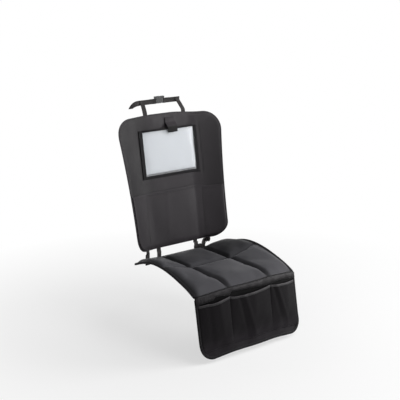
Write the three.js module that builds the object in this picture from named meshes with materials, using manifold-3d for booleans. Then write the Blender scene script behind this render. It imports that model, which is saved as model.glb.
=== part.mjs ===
// Car seat protector in its worn shape: a padded back panel with a clear tablet window and a
// lower pocket, a quilted seat pad, a front flap with three pockets, and the webbing that joins
// and ties them. Millimetres. X runs to the right seen from the front, -Y points forward, +Z up.
// The origin is the centre of the flat underside of the seat pad.
import * as THREE from "three";
import { mergeVertices } from "three/addons/utils/BufferGeometryUtils.js";
import Module from "manifold-3d";

// Seat pad
const padDepth = 417;
const padHalfWidth = 240;
const padCornerRadius = 50;
const padStitchedThickness = 4;
const padCrown = 14;
const undersideThickness = 1;
const undersideClearance = 1;
const channelHalfSpacing = 99;
const crossSeamY = 16.5;
const quiltRoundness = 2.6;
const quiltEdgeFlat = 2;
const quiltEdgeRun = 16;
const seamSweepBack = 18;
const seamRelief = 2.5;
const seamEase = 60;

// Form of the seat cushion under the pad
const dishHalfWidth = 90;
const bolsterHeight = 42;
const bolsterCrestY = 46.5;
const bolsterRunFront = 190;
const bolsterRunRear = 155;
const bolsterCurve = 1.5;
const frontDrop = 12;
const frontDropStartY = -130;

// Back panel
const panelHeight = 522;
const panelTopHalfWidth = 255;
const panelBottomHalfWidth = 221;
const panelWaist = 9;
const panelTopRadius = 80;
const panelBottomRadius = 60;
const panelThickness = 6;
const panelRecline = THREE.MathUtils.degToRad(8.6);
const panelFlatHalfWidth = 100;
const panelWrapTop = 30;
const panelWrapBottom = 53;
const panelSetback = 8;
const panelLift = 42;
const sideSag = 11;
const sideSagStart = 105;
const sideSagRun = 75;

// Binding tape on the edges
const bindingLip = 9;
const bindingTape = 1;
const bindingClearance = 1.1;

// Tablet window
const windowHalfWidth = 141;
const windowBottom = 275;
const windowTop = 466;
const windowTapeWidth = 17;
const windowFootWidth = 11;
const windowSlackRun = 24;
const windowHemWidth = 8;
const filmThickness = 0.8;
const filmEdgeLift = 1.8;
const filmBulge = 9;
const liningThickness = 0.6;
const liningLift = 0.8;
const liningMargin = 18;
const closureWidth = 52;
const closureX = 14;
const closureRise = 22;
const closureRoot = 16;
const closureOverlap = 24;
const closureThickness = 1.6;
const hookThickness = 1;

// Lower pocket of the back panel
const lowerDividerX = 138;
const lowerPocketBottom = 17;
const lowerPocketMouth = 221;
const lowerPocketBulge = [2, 9, 4];
const lowerBulgeCurve = 0.7;
const pocketCloth = 1.5;
const lowerHemWidth = 10;
const lowerRowCrowding = 1.4;
const sewnClearance = 0.4;
const clothClearance = 0.8;

// Front flap and its pockets
const flapDrop = 228;
const flapOverhang = 2;
const flapHalfWidth = padHalfWidth + flapOverhang;
const flapCornerRadius = 54;
const flapThickness = 3;
const flapLean = 0.1375;
const flapSweepBack = 8;
const flapKick = 8;
const flapKickShare = 0.25;
const flapBindingStart = 12;
const bandHeight = 27;
const bandThickness = 3.5;
const bandEdgeShare = 0.55;
const pocketMouthDrop = 31;
const pocketFootMargin = 26;
const pocketBelly = [13, 15, 12];
const pocketGape = [13, 14, 3];
const pocketBellyCurve = 0.6;
const pocketGapeCurve = 0.6;
const pocketHemWidth = 9;

// Webbing
const webbingWidth = 20;
const webbingThickness = 1.4;
const strapSpacing = 93;
const strapSewnLength = 30;
const strapTopX = 86;
const strapRise = 60;
const strapSetback = 30;
const strapFoldOverhang = 12;
const strapBow = 1;
const sewnLayerShare = 0.8;
const tailJoin = 3;
const tailLength = 50;
const tailForward = 12;
const tailFall = 16;
const linkInnerX = 92;
const linkOuterX = 148;
const linkGap = 5.5;
const linkBow = 4;
const linkLap = 2;
const linkLeft = { inner: 98, outer: 154, drop: 8 };
const linkRight = { inner: 88, outer: 126, drop: -8 };
const loopWidth = 14;
const loopClearance = 0.6;
const loopTail = 24;
const strapRelief = 12;

// Side-release buckle
const buckleHalfLength = 24;
const buckleHeight = 28;
const buckleThickness = 9;
const buckleCornerRadius = 4;
const buckleSlotWidth = 3.6;
const buckleBarWidth = 3.5;
const buckleBarThickness = 3.6;
const buckleJoinX = 8;
const buckleCavity = 5.2;
const buckleWall = 3.5;
const prongWidth = 3.5;
const prongClearance = 0.4;
const prongJoin = 2;
const barbLength = 8;
const barbWindowSpare = 4;
const socketBack = 2;
const slotSpare = 1;
const cutThrough = 1;
const strapCloseX = 1.4 * buckleHalfLength;
const strapMeetX = 2 * buckleHalfLength;

const finish = (color, roughness, metalness = 0) =>
  new THREE.MeshStandardMaterial({ color, roughness, metalness });
const panelFabric = finish(0x454247, 0.85);
const quiltFabric = finish(0x4b4a50, 0.6);
const flapFabric = finish(0x252326, 0.8);
const bindingFabric = finish(0x161517, 0.8);
const webbingFabric = finish(0x2a2829, 0.75);
const liningFabric = finish(0xb9bcc2, 0.9);
const clearFilm = finish(0xdfe5ea, 0.1);
const hookTape = finish(0x1b1a1c, 0.95);
const gripBacking = finish(0x2f2e31, 0.95);
const bucklePlastic = finish(0x131314, 0.45);

const wasm = await Module();
wasm.setup();

const protector = new THREE.Group();
protector.name = "car_seat_protector";

function add(name, geometry, material) {
  const mesh = new THREE.Mesh(geometry, material);
  mesh.name = name;
  protector.add(mesh);
  return mesh;
}

const vec = (x, y, z) => new THREE.Vector3(x, y, z);
const lerp = THREE.MathUtils.lerp;
const clamp01 = (value) => THREE.MathUtils.clamp(value, 0, 1);

// A closed surface from points and triangles, turned to face out.
function closedGeometry(points, triangles) {
  let volume = 0;
  for (let k = 0; k < triangles.length; k += 3) {
    const [a, b, c] = [0, 1, 2].map((n) => points[triangles[k + n]]);
    volume += a.dot(b.clone().cross(c));
  }
  if (volume < 0) {
    triangles.reverse();
  }
  const geometry = new THREE.BufferGeometry().setFromPoints(points);
  geometry.setIndex(triangles);
  geometry.computeVertexNormals();
  return geometry;
}

// A slab between two grids of the same size, closed round its rim.
function slab(columns, rows, face, back) {
  const stride = columns + 1;
  const layer = stride * (rows + 1);
  const points = [];
  for (const side of [face, back]) {
    for (let j = 0; j <= rows; j++) {
      for (let i = 0; i <= columns; i++) {
        points.push(side(i, j));
      }
    }
  }
  const triangles = [];
  const quad = (a, b, c, d) => triangles.push(a, b, c, a, c, d);
  for (let j = 0; j < rows; j++) {
    for (let i = 0; i < columns; i++) {
      const a = j * stride + i;
      quad(a, a + 1, a + stride + 1, a + stride);
      quad(layer + a, layer + a + stride, layer + a + stride + 1, layer + a + 1);
    }
  }
  for (let i = 0; i < columns; i++) {
    const top = rows * stride + i;
    quad(i, layer + i, layer + i + 1, i + 1);
    quad(top, top + 1, layer + top + 1, layer + top);
  }
  for (let j = 0; j < rows; j++) {
    const low = j * stride;
    const high = low + columns;
    quad(low, low + stride, layer + low + stride, layer + low);
    quad(high, layer + high, layer + high + stride, high + stride);
  }
  return closedGeometry(points, triangles);
}

// A profile of [out, up] pairs carried along stations, closed into a ring or capped at its ends.
function sweep(stations, profile, ring) {
  const size = profile.length;
  const points = stations.flatMap(({ point, out, up }) =>
    profile.map(([o, u]) => point.clone().addScaledVector(out, o).addScaledVector(up, u)),
  );
  const triangles = [];
  const spans = ring ? stations.length : stations.length - 1;
  for (let k = 0; k < spans; k++) {
    const next = (k + 1) % stations.length;
    for (let m = 0; m < size; m++) {
      const after = (m + 1) % size;
      const [a, b] = [k * size + m, k * size + after];
      const [c, d] = [next * size + after, next * size + m];
      triangles.push(a, b, c, a, c, d);
    }
  }
  if (!ring) {
    const flat = profile.map(([o, u]) => new THREE.Vector2(o, u));
    const last = (stations.length - 1) * size;
    for (const [a, b, c] of THREE.ShapeUtils.triangulateShape(flat, [])) {
      const forward = !THREE.ShapeUtils.isClockWise(flat);
      const [p, q] = forward ? [c, b] : [b, c];
      triangles.push(a, p, q, last + a, last + q, last + p);
    }
  }
  return closedGeometry(points, triangles);
}

// Stations along an edge: the way out of the cloth and the way off its face at each point.
function edgeStations(points, normals, ring) {
  return points.map((point, k) => {
    const count = points.length;
    const before = ring ? points[(k + count - 1) % count] : points[Math.max(k - 1, 0)];
    const after = ring ? points[(k + 1) % count] : points[Math.min(k + 1, count - 1)];
    const up = normals[k];
    const out = after.clone().sub(before).cross(up).normalize();
    return { point, out, up: up.clone() };
  });
}

// The unit normal of a surface point(a, b), by steps of half a millimetre each way.
function surfaceNormal(point, a, b) {
  const step = 0.5;
  const alongA = point(a + step, b).sub(point(a - step, b));
  const alongB = point(a, b + step).sub(point(a, b - step));
  return alongA.cross(alongB).normalize();
}

// The folded tape that holds a cloth edge of the given thickness between its two lips.
function bindingProfile(thickness) {
  const inner = thickness / 2 + bindingClearance;
  const outer = inner + bindingTape;
  const fold = bindingClearance;
  return [
    [-bindingLip, outer],
    [fold + bindingTape, outer],
    [fold + bindingTape, -outer],
    [-bindingLip, -outer],
    [-bindingLip, -inner],
    [fold, -inner],
    [fold, inner],
    [-bindingLip, inner],
  ];
}

function solidOf(geometry) {
  const bare = geometry.clone();
  bare.deleteAttribute("normal");
  bare.deleteAttribute("uv");
  const merged = mergeVertices(bare, 1e-4);
  const vertProperties = new Float32Array(merged.attributes.position.array);
  const triVerts = new Uint32Array(merged.index.array);
  return new wasm.Manifold(new wasm.Mesh({ numProp: 3, vertProperties, triVerts }));
}

function geometryOf(solid) {
  const mesh = solid.getMesh();
  const geometry = new THREE.BufferGeometry();
  const positions = new Float32Array(mesh.vertProperties);
  geometry.setAttribute("position", new THREE.BufferAttribute(positions, 3));
  geometry.setIndex(new THREE.BufferAttribute(new Uint32Array(mesh.triVerts), 1));
  geometry.computeVertexNormals();
  return geometry;
}

const joined = (...geometries) =>
  geometryOf(geometries.map(solidOf).reduce((whole, piece) => whole.add(piece)));
const cut = (geometry, ...tools) =>
  geometryOf(tools.map(solidOf).reduce((whole, tool) => whole.subtract(tool), solidOf(geometry)));

// Positions along spans between breaks, each span with its own count of cells.
function evenMarks(cells) {
  return cells.flatMap((count, span) =>
    Array.from({ length: count + (span === cells.length - 1 ? 1 : 0) }, (_, k) => ({
      span,
      share: k / count,
    })),
  );
}

// The same, closer together near each break.
const marks = (cells) =>
  evenMarks(cells).map(({ span, share }) => ({ span, share: (1 - Math.cos(Math.PI * share)) / 2 }));

// Seat pad

const padFrontY = -padDepth / 2;
const padRearY = padDepth / 2;
const frontSeamY = (x) => padFrontY + seamSweepBack * (x / padHalfWidth) ** 2;

// Height of the pad's underside over the dished seat cushion.
function cushionHeight(x, y) {
  const past = Math.max(0, frontDropStartY - y) / (frontDropStartY - padFrontY);
  const run = y < bolsterCrestY ? bolsterRunFront : bolsterRunRear;
  const crest = bolsterHeight * Math.cos((Math.PI / 2) * ((y - bolsterCrestY) / run));
  const aside = Math.max(0, Math.abs(x) - dishHalfWidth) / (padHalfWidth - dishHalfWidth);
  return crest * aside ** bolsterCurve - frontDrop * past ** 2;
}

function padHalfAt(y) {
  const into = Math.max(0, y - (padRearY - padCornerRadius));
  return padHalfWidth - padCornerRadius + Math.sqrt(padCornerRadius ** 2 - into ** 2);
}

// A point off the cushion: lift goes along its normal, upright at the front seam.
function cushionPoint(x, y, lift) {
  const step = 0.5;
  const slopeX = cushionHeight(x + step, y) - cushionHeight(x - step, y);
  const slopeY = cushionHeight(x, y + step) - cushionHeight(x, y - step);
  const ease = clamp01((y - frontSeamY(x)) / seamEase);
  const normal = vec(-slopeX, -slopeY * ease, 2 * step).normalize();
  return vec(x, y, cushionHeight(x, y)).addScaledVector(normal, lift);
}

const padAcross = marks([1, 6, 8, 6, 1]);
const padAlong = marks([9, 8, 1]);

function padPlace(across, along) {
  const rows = [frontSeamY, () => crossSeamY, () => padRearY - bindingLip, () => padRearY];
  const yAt = (x) => lerp(rows[along.span](x), rows[along.span + 1](x), along.share);
  const half = padHalfAt(yAt(0));
  const inner = half - bindingLip;
  const breaks = [-half, -inner, -channelHalfSpacing, channelHalfSpacing, inner, half];
  const x = lerp(breaks[across.span], breaks[across.span + 1], across.share);
  return { x, y: yAt(x) };
}

// How far a point of the pad lies in from its left, right or rear edge, corners included.
function fromPadEdge(x, y) {
  const aside = Math.abs(x) - (padHalfWidth - padCornerRadius);
  const behind = y - (padRearY - padCornerRadius);
  const inCorner = aside > 0 && behind > 0;
  return padCornerRadius - (inCorner ? Math.hypot(aside, behind) : Math.max(aside, behind));
}

const crownShare = (share) => 1 - Math.abs(2 * share - 1) ** quiltRoundness;

function padPuff(across, along, x, y) {
  const onLip = across.span === 0 || across.span === 4 || along.span === 2;
  const rise = clamp01((fromPadEdge(x, y) - bindingLip - quiltEdgeFlat) / quiltEdgeRun);
  const crown = Math.sqrt(crownShare(across.share) * crownShare(along.share));
  return onLip ? 0 : padCrown * crown * Math.sin((Math.PI / 2) * rise);
}

const padFloor = undersideThickness + undersideClearance;
const padLayers = padFloor + padStitchedThickness;

const padLayer = (lift) => (i, j) => {
  const { x, y } = padPlace(padAcross[i], padAlong[j]);
  return cushionPoint(x, y, lift);
};

function addSeatPad() {
  const last = padAcross.length - 1;
  const rear = padAlong.length - 1;
  const top = (i, j) => {
    const { x, y } = padPlace(padAcross[i], padAlong[j]);
    return cushionPoint(x, y, padLayers + padPuff(padAcross[i], padAlong[j], x, y));
  };
  add("seat_pad", slab(last, rear, top, padLayer(padFloor)), quiltFabric);

  const seamMark = { span: 0, share: seamRelief / (crossSeamY - padFrontY) };
  const rim = [padPlace(padAcross[last], seamMark)];
  for (let j = 1; j < rear; j++) rim.push(padPlace(padAcross[last], padAlong[j]));
  for (let i = last; i > 0; i--) rim.push(padPlace(padAcross[i], padAlong[rear]));
  for (let j = rear; j > 0; j--) rim.push(padPlace(padAcross[0], padAlong[j]));
  rim.push(padPlace(padAcross[0], seamMark));
  const surface = (x, y) => cushionPoint(x, y, 0);
  const points = rim.map(({ x, y }) => cushionPoint(x, y, padLayers / 2));
  const normals = rim.map(({ x, y }) => surfaceNormal(surface, x, y));
  const tape = sweep(edgeStations(points, normals, false), bindingProfile(padLayers), false);
  add("pad_binding", tape, bindingFabric);
}

function addPadUnderside() {
  const columns = padAcross.length - 1;
  const rows = padAlong.length - 1;
  const backing = slab(columns, rows, padLayer(undersideThickness), padLayer(0));
  add("pad_underside", backing, gripBacking);
}

// Back panel

const panelFoot = vec(0, padRearY + panelSetback, panelLift);
const panelUp = vec(0, Math.sin(panelRecline), Math.cos(panelRecline));
const panelFront = vec(0, -Math.cos(panelRecline), Math.sin(panelRecline));

function panelSideHalf(v) {
  const t = v / panelHeight;
  return lerp(panelBottomHalfWidth, panelTopHalfWidth, t) - 4 * panelWaist * t * (1 - t);
}

const cornerInset = (radius, into) =>
  into > 0 ? radius - Math.sqrt(Math.max(0, radius ** 2 - into ** 2)) : 0;

const panelHalfAt = (v) =>
  panelSideHalf(v) -
  cornerInset(panelBottomRadius, panelBottomRadius - v) -
  cornerInset(panelTopRadius, v - (panelHeight - panelTopRadius));

// How far the panel comes forward where it wraps round the sides of the backrest.
function panelWrap(x, v) {
  const aside = Math.max(0, Math.abs(x) - panelFlatHalfWidth);
  const reach = lerp(panelWrapBottom, panelWrapTop, v / panelHeight);
  return reach * (aside / (panelSideHalf(v) - panelFlatHalfWidth)) ** 2;
}

function panelNormal(x, v) {
  const step = 0.5;
  const slopeX = (panelWrap(x + step, v) - panelWrap(x - step, v)) / (2 * step);
  const slopeV = (panelWrap(x, v + step) - panelWrap(x, v - step)) / (2 * step);
  return panelFront.clone().addScaledVector(panelUp, -slopeV).add(vec(-slopeX, 0, 0)).normalize();
}

// How far the panel's right side hangs below its left, less and less towards the foot.
function panelSag(x, v) {
  const aside = THREE.MathUtils.smoothstep(x, sideSagStart, sideSagStart + sideSagRun);
  return sideSag * aside * clamp01(v / lowerPocketMouth);
}

// A point off the panel's front face: lift is positive towards the front.
function panelPoint(x, v, lift) {
  return vec(x, 0, 0)
    .add(panelFoot)
    .addScaledVector(panelUp, v - panelSag(x, v))
    .addScaledVector(panelFront, panelWrap(x, v))
    .addScaledVector(panelNormal(x, v), lift);
}

function addBackPanel() {
  const across = evenMarks([1, 8, 2, 8, 1]);
  const along = marks([1, 4, 6, 5, 1]);
  const rowBreaks = [
    0,
    bindingLip,
    panelBottomRadius,
    panelHeight - panelTopRadius,
    panelHeight - bindingLip,
    panelHeight,
  ];
  const place = (i, j) => {
    const row = along[j];
    const v = lerp(rowBreaks[row.span], rowBreaks[row.span + 1], row.share);
    const half = panelHalfAt(v);
    const inner = half - bindingLip;
    const columnBreaks = [-half, -inner, -panelFlatHalfWidth, panelFlatHalfWidth, inner, half];
    const { span, share } = across[i];
    return { x: lerp(columnBreaks[span], columnBreaks[span + 1], share), v };
  };
  const layer = (lift) => (i, j) => {
    const { x, v } = place(i, j);
    return panelPoint(x, v, lift);
  };
  const columns = across.length - 1;
  const rows = along.length - 1;
  add("back_panel", slab(columns, rows, layer(0), layer(-panelThickness)), panelFabric);

  const rim = [];
  for (let i = 0; i < columns; i++) rim.push(place(i, 0));
  for (let j = 0; j < rows; j++) rim.push(place(columns, j));
  for (let i = columns; i > 0; i--) rim.push(place(i, rows));
  for (let j = rows; j > 0; j--) rim.push(place(0, j));
  const points = rim.map(({ x, v }) => panelPoint(x, v, -panelThickness / 2));
  const normals = rim.map(({ x, v }) => panelNormal(x, v));
  const tape = sweep(edgeStations(points, normals, true), bindingProfile(panelThickness), true);
  add("back_panel_binding", tape, bindingFabric);
}

// A cloth patch on the panel over lists of x and v, lifted off it by a function of both.
function panelPatch(xs, vs, lift, thickness) {
  const layer = (extra) => (i, j) => panelPoint(xs[i], vs[j], lift(xs[i], vs[j]) + extra);
  return slab(xs.length - 1, vs.length - 1, layer(thickness), layer(0));
}

const spread = (from, to, count) =>
  Array.from({ length: count + 1 }, (_, k) => lerp(from, to, k / count));
const spans = (breaks, cells) =>
  evenMarks(cells).map(({ span, share }) => lerp(breaks[span], breaks[span + 1], share));

const windowInner = windowHalfWidth - windowTapeWidth;
const windowFoot = windowBottom + windowFootWidth;

// How far the clear film stands off its sewn edges, open at the top.
function filmRise(x, v) {
  const fromSide = clamp01((windowInner - Math.abs(x)) / windowSlackRun);
  const fromFoot = clamp01((v - windowFoot) / windowSlackRun);
  const ease = (t) => Math.sin((Math.PI / 2) * t);
  return filmBulge * ease(fromSide) * ease(fromFoot);
}

const filmFace = (x, v) => filmEdgeLift + filmRise(x, v) + filmThickness;
const tapeLift = (x, v) => filmFace(x, v) + sewnClearance;

const windowSlack = windowInner - windowSlackRun;
const windowXs = spans(
  [-windowHalfWidth, -windowInner, -windowSlack, windowSlack, windowInner, windowHalfWidth],
  [1, 3, 6, 3, 1],
);

function addTabletWindow() {
  const liningHalf = windowHalfWidth - liningMargin;
  const liningXs = spread(-liningHalf, liningHalf, 14);
  const liningVs = spread(windowBottom + liningMargin, windowTop, 4);
  const lining = panelPatch(liningXs, liningVs, () => liningLift, liningThickness);
  add("tablet_pocket_lining", lining, liningFabric);

  const filmBreaks = [windowBottom, windowFoot, windowFoot + windowSlackRun, windowTop];
  const filmVs = spans(filmBreaks, [1, 3, 5]);
  const filmLift = (x, v) => filmEdgeLift + filmRise(x, v);
  add("tablet_window", panelPatch(windowXs, filmVs, filmLift, filmThickness), clearFilm);

  const low = () => filmEdgeLift + filmThickness + sewnClearance;
  const hemFoot = windowTop - windowHemWidth;
  const sideVs = spread(windowFoot + sewnClearance, hemFoot - sewnClearance, 4);
  const leftXs = [-windowHalfWidth, -windowInner];
  const rightXs = [windowInner, windowHalfWidth];
  add("window_tape_left", panelPatch(leftXs, sideVs, low, bindingTape), bindingFabric);
  add("window_tape_right", panelPatch(rightXs, sideVs, low, bindingTape), bindingFabric);
  const bottom = panelPatch(windowXs, [windowBottom, windowFoot], low, bindingTape);
  add("window_tape_bottom", bottom, bindingFabric);
  const hem = panelPatch(windowXs, [hemFoot, windowTop], tapeLift, bindingTape);
  add("window_mouth_hem", hem, bindingFabric);
}

// The tab that closes the window's mouth: sewn to the panel above it and folded over the hem.
function addClosureTab() {
  const hookLift = tapeLift(closureX, windowTop) + bindingTape + sewnClearance;
  const tabLift = hookLift + hookThickness + sewnClearance;
  const rootFoot = windowTop + closureRise;
  const lift = (x, v) => {
    const t = clamp01((rootFoot - v) / closureRise);
    return lerp(clothClearance, tabLift, Math.sin((Math.PI / 2) * t) ** 2);
  };
  const half = closureWidth / 2;
  const tabXs = [closureX - half, closureX, closureX + half];
  const tabVs = spans(
    [windowTop - closureOverlap, windowTop, rootFoot, rootFoot + closureRoot],
    [1, 8, 1],
  );
  add("closure_tab", panelPatch(tabXs, tabVs, lift, closureThickness), webbingFabric);
  const inset = 4;
  const hookXs = [closureX - half + inset, closureX + half - inset];
  const hookVs = [windowTop - closureOverlap + inset, windowTop - inset];
  const hook = panelPatch(hookXs, hookVs, () => hookLift, hookThickness);
  add("closure_hook_patch", hook, hookTape);
}

const lowerInset = bindingLip + bindingClearance + clothClearance;
const lowerEdges = (v) => {
  const corner = cornerInset(panelBottomRadius - lowerInset, panelBottomRadius - v);
  const half = panelSideHalf(v) - lowerInset - corner;
  return [-half, -lowerDividerX, lowerDividerX, half];
};

// A point of the pocket's cloth: three compartments side by side, each bulging up to its mouth.
function lowerPocketPoint(number, share, up, lift) {
  const v = lerp(lowerPocketBottom, lowerPocketMouth, up);
  const edges = lowerEdges(v);
  const bulge = lowerPocketBulge[number] * Math.sin(Math.PI * share) ** lowerBulgeCurve;
  const rise = clothClearance + bulge * Math.sin((Math.PI / 2) * clamp01(up));
  return panelPoint(lerp(edges[number], edges[number + 1], share), v, rise + lift);
}

function addLowerPocket() {
  const across = evenMarks([8, 24, 8]);
  const columns = across.length - 1;
  const rows = 7;
  const cloth = (lift) => (i, j) =>
    lowerPocketPoint(across[i].span, across[i].share, (j / rows) ** lowerRowCrowding, lift);
  add("lower_pocket", slab(columns, rows, cloth(pocketCloth), cloth(0)), panelFabric);
  const hemStart = 1 - lowerHemWidth / (lowerPocketMouth - lowerPocketBottom);
  const hemLift = pocketCloth + sewnClearance;
  const hem = (lift) => (i, j) =>
    lowerPocketPoint(across[i].span, across[i].share, lerp(hemStart, 1, j), lift);
  const tape = slab(columns, 1, hem(hemLift + bindingTape), hem(hemLift));
  add("lower_pocket_hem", tape, bindingFabric);
}

// Front flap

const seamZ = (x) => cushionHeight(x, frontSeamY(x)) + padLayers;

// A point off the back of the flap: down is measured from the front seam, lift is forward.
function flapPoint(x, down, lift) {
  const t = down / flapDrop;
  const sweepBack = lerp(seamSweepBack, flapSweepBack, t) * (x / padHalfWidth) ** 2;
  const kick = flapKick * (Math.max(0, t - 1 + flapKickShare) / flapKickShare) ** 2;
  const y = padFrontY - bindingClearance - flapLean * down + sweepBack - kick - lift;
  return vec(x, y, seamZ(x) - down);
}

const flapHalfAt = (down) =>
  flapHalfWidth - cornerInset(flapCornerRadius, down - (flapDrop - flapCornerRadius));

function addFrontFlap() {
  const across = evenMarks([1, 14, 1]);
  const along = marks([1, 6, 5, 1]);
  const cornerStart = flapDrop - flapCornerRadius;
  const rowBreaks = [0, flapBindingStart, cornerStart, flapDrop - bindingLip, flapDrop];
  const place = (i, j) => {
    const row = along[j];
    const down = lerp(rowBreaks[row.span], rowBreaks[row.span + 1], row.share);
    const half = flapHalfAt(down);
    const columnBreaks = [-half, bindingLip - half, half - bindingLip, half];
    const { span, share } = across[i];
    return { x: lerp(columnBreaks[span], columnBreaks[span + 1], share), down };
  };
  const layer = (lift) => (i, j) => {
    const { x, down } = place(i, j);
    return flapPoint(x, down, lift);
  };
  const columns = across.length - 1;
  const rows = along.length - 1;
  add("front_flap", slab(columns, rows, layer(flapThickness), layer(0)), flapFabric);

  const rim = [];
  for (let j = 1; j < rows; j++) rim.push(place(0, j));
  for (let i = 0; i < columns; i++) rim.push(place(i, rows));
  for (let j = rows; j >= 1; j--) rim.push(place(columns, j));
  const points = rim.map(({ x, down }) => flapPoint(x, down, flapThickness / 2));
  const surface = (x, down) => flapPoint(x, down, 0);
  const normals = rim.map(({ x, down }) => surfaceNormal(surface, x, down).negate());
  const tape = sweep(edgeStations(points, normals, false), bindingProfile(flapThickness), false);
  add("flap_binding", tape, bindingFabric);
}

const bandLift = flapThickness + bindingClearance + bindingTape + sewnClearance;

// The strip under the front seam, a soft roll that overhangs the pocket mouths.
function addFrontBand() {
  const columns = 20;
  const rows = 4;
  const roll = (t) => bandThickness * lerp(bandEdgeShare, 1, Math.sin(Math.PI * t));
  const layer = (face) => (i, j) => {
    const x = lerp(-flapHalfWidth, flapHalfWidth, i / columns);
    const t = j / rows;
    return flapPoint(x, bandHeight * t, bandLift + (face ? roll(t) : 0));
  };
  add("front_band", slab(columns, rows, layer(true), layer(false)), flapFabric);
}

const pocketInset = bindingLip + bindingClearance;
const pocketHalf = flapHalfWidth - pocketInset;
const pocketEdges = [-pocketHalf, -channelHalfSpacing, channelHalfSpacing, pocketHalf];
const pocketFoot = flapDrop - pocketFootMargin;
const pocketHalfAt = (down) =>
  pocketHalf - cornerInset(flapCornerRadius - pocketInset, down - (flapDrop - flapCornerRadius));

// Which pocket x is in, and how far across it.
function pocketAt(x) {
  const number = x < -channelHalfSpacing ? 0 : x < channelHalfSpacing ? 1 : 2;
  const share = (x - pocketEdges[number]) / (pocketEdges[number + 1] - pocketEdges[number]);
  return { number, share: clamp01(share) };
}

// The mouth hangs open near the left end of each pocket and closes towards its right end.
function mouthDown(x) {
  const { number, share } = pocketAt(x);
  const hang = Math.sin(Math.PI * share ** pocketGapeCurve) ** 2;
  return pocketMouthDrop + pocketGape[number] * hang;
}

function pocketRise(x, down) {
  const { number, share } = pocketAt(x);
  const across = Math.sin(Math.PI * share) ** pocketBellyCurve;
  const below = clamp01((down - pocketMouthDrop) / (pocketFoot - pocketMouthDrop));
  return sewnClearance + pocketBelly[number] * across * Math.cos((Math.PI / 2) * below);
}

function addFlapPockets() {
  const across = marks([12, 14, 12]);
  const columns = across.length - 1;
  const rows = 7;
  const xAt = (i) => lerp(pocketEdges[across[i].span], pocketEdges[across[i].span + 1], across[i].share);
  const clothLayer = (extra) => (i, j) => {
    const down = lerp(mouthDown(xAt(i)), pocketFoot, j / rows);
    const beyond = Math.max(0, Math.abs(xAt(i)) - channelHalfSpacing);
    const squeeze = (pocketHalfAt(down) - channelHalfSpacing) / (pocketHalf - channelHalfSpacing);
    const x = Math.sign(xAt(i)) * (Math.abs(xAt(i)) - beyond * (1 - squeeze));
    return flapPoint(x, down, flapThickness + pocketRise(xAt(i), down) + extra);
  };
  const cloth = slab(columns, rows, clothLayer(pocketCloth), clothLayer(0));
  add("flap_pocket_panel", cloth, flapFabric);

  const hemLayer = (extra) => (i, j) => {
    const x = xAt(i);
    const down = mouthDown(x) + lerp(0, pocketHemWidth, j);
    const lift = flapThickness + pocketRise(x, down) + pocketCloth + sewnClearance;
    return flapPoint(x, down, lift + extra);
  };
  add("flap_pocket_hem", slab(columns, 1, hemLayer(bindingTape), hemLayer(0)), bindingFabric);
}

// Webbing

// Flat webbing along a route of points, each with the direction its width runs in.
function webbing(route, steps, width = webbingWidth) {
  const curve = new THREE.CatmullRomCurve3(route.map(({ point }) => point), false, "centripetal");
  const stations = Array.from({ length: steps + 1 }, (_, k) => {
    const t = k / steps;
    const place = t * (route.length - 1);
    const near = Math.min(Math.floor(place), route.length - 2);
    const across = route[near].across.clone().lerp(route[near + 1].across, place - near);
    const tangent = curve.getTangent(t);
    across.addScaledVector(tangent, -across.dot(tangent)).normalize();
    return { point: curve.getPoint(t), out: across, up: tangent.cross(across) };
  });
  const [w, h] = [width / 2, webbingThickness / 2];
  return sweep(stations, [[-w, -h], [w, -h], [w, h], [-w, h]], false);
}

const alongX = vec(1, 0, 0);
const alongZ = vec(0, 0, 1);
const behindPanel =
  -(panelThickness + bindingClearance + bindingTape + clothClearance + webbingThickness / 2);

const strapBase = panelPoint(strapSpacing, panelHeight, behindPanel);
const strapCrown = vec(strapTopX, strapBase.y + strapSetback, strapBase.z + strapRise);
const bandCentreZ = strapCrown.z - webbingWidth / 2;
const sewnLayerStep = sewnLayerShare * webbingThickness;
const bandY = strapCrown.y + sewnLayerStep;
const buckleY = bandY + 2 * webbingThickness;
const slotCentreX = buckleHalfLength - buckleBarWidth - buckleSlotWidth / 2;

// A strap from the panel's top edge, folded over behind a headrest post and on to the buckle.
function topStrap(side) {
  const at = (x, y, z, across) => ({ point: vec(side * x, y, z), across });
  const sewn = (v) => {
    const p = panelPoint(strapSpacing, v, behindPanel);
    return at(p.x, p.y, p.z, alongX);
  };
  const half = (a, b) => (a + b) / 2;
  const layerY = buckleBarThickness / 2 + sewnClearance + webbingThickness / 2;
  const turnX = slotCentreX - buckleSlotWidth / 2 + webbingThickness / 2 + sewnClearance;
  const riser = webbing(
    [
      sewn(panelHeight - strapSewnLength),
      sewn(panelHeight),
      sewn(panelHeight + strapRelief),
      at(
        half(strapSpacing, strapTopX),
        half(strapBase.y, strapCrown.y) - strapBow,
        half(strapBase.z, strapCrown.z),
        alongX,
      ),
      at(strapTopX, strapCrown.y - strapBow, strapCrown.z - webbingWidth / 2, alongX),
      at(strapTopX, strapCrown.y, strapCrown.z, alongX),
    ],
    12,
  );
  const outerX = strapTopX + strapFoldOverhang;
  const layers = webbingThickness / 2 + sewnClearance;
  const band = webbing(
    [
      at(outerX, bandY, bandCentreZ, alongZ),
      at(strapTopX, bandY, bandCentreZ, alongZ),
      at(strapMeetX, buckleY - layers, bandCentreZ, alongZ),
      at(strapCloseX, buckleY - layers, bandCentreZ, alongZ),
      at(buckleHalfLength, buckleY - layerY, bandCentreZ, alongZ),
      at(slotCentreX, buckleY - layerY, bandCentreZ, alongZ),
      at(turnX, buckleY, bandCentreZ, alongZ),
      at(slotCentreX, buckleY + layerY, bandCentreZ, alongZ),
      at(buckleHalfLength, buckleY + layerY, bandCentreZ, alongZ),
      at(strapCloseX, buckleY + layers, bandCentreZ, alongZ),
      at(strapMeetX, buckleY + layers, bandCentreZ, alongZ),
    ],
    34,
  );
  return joined(riser, band);
}

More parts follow.
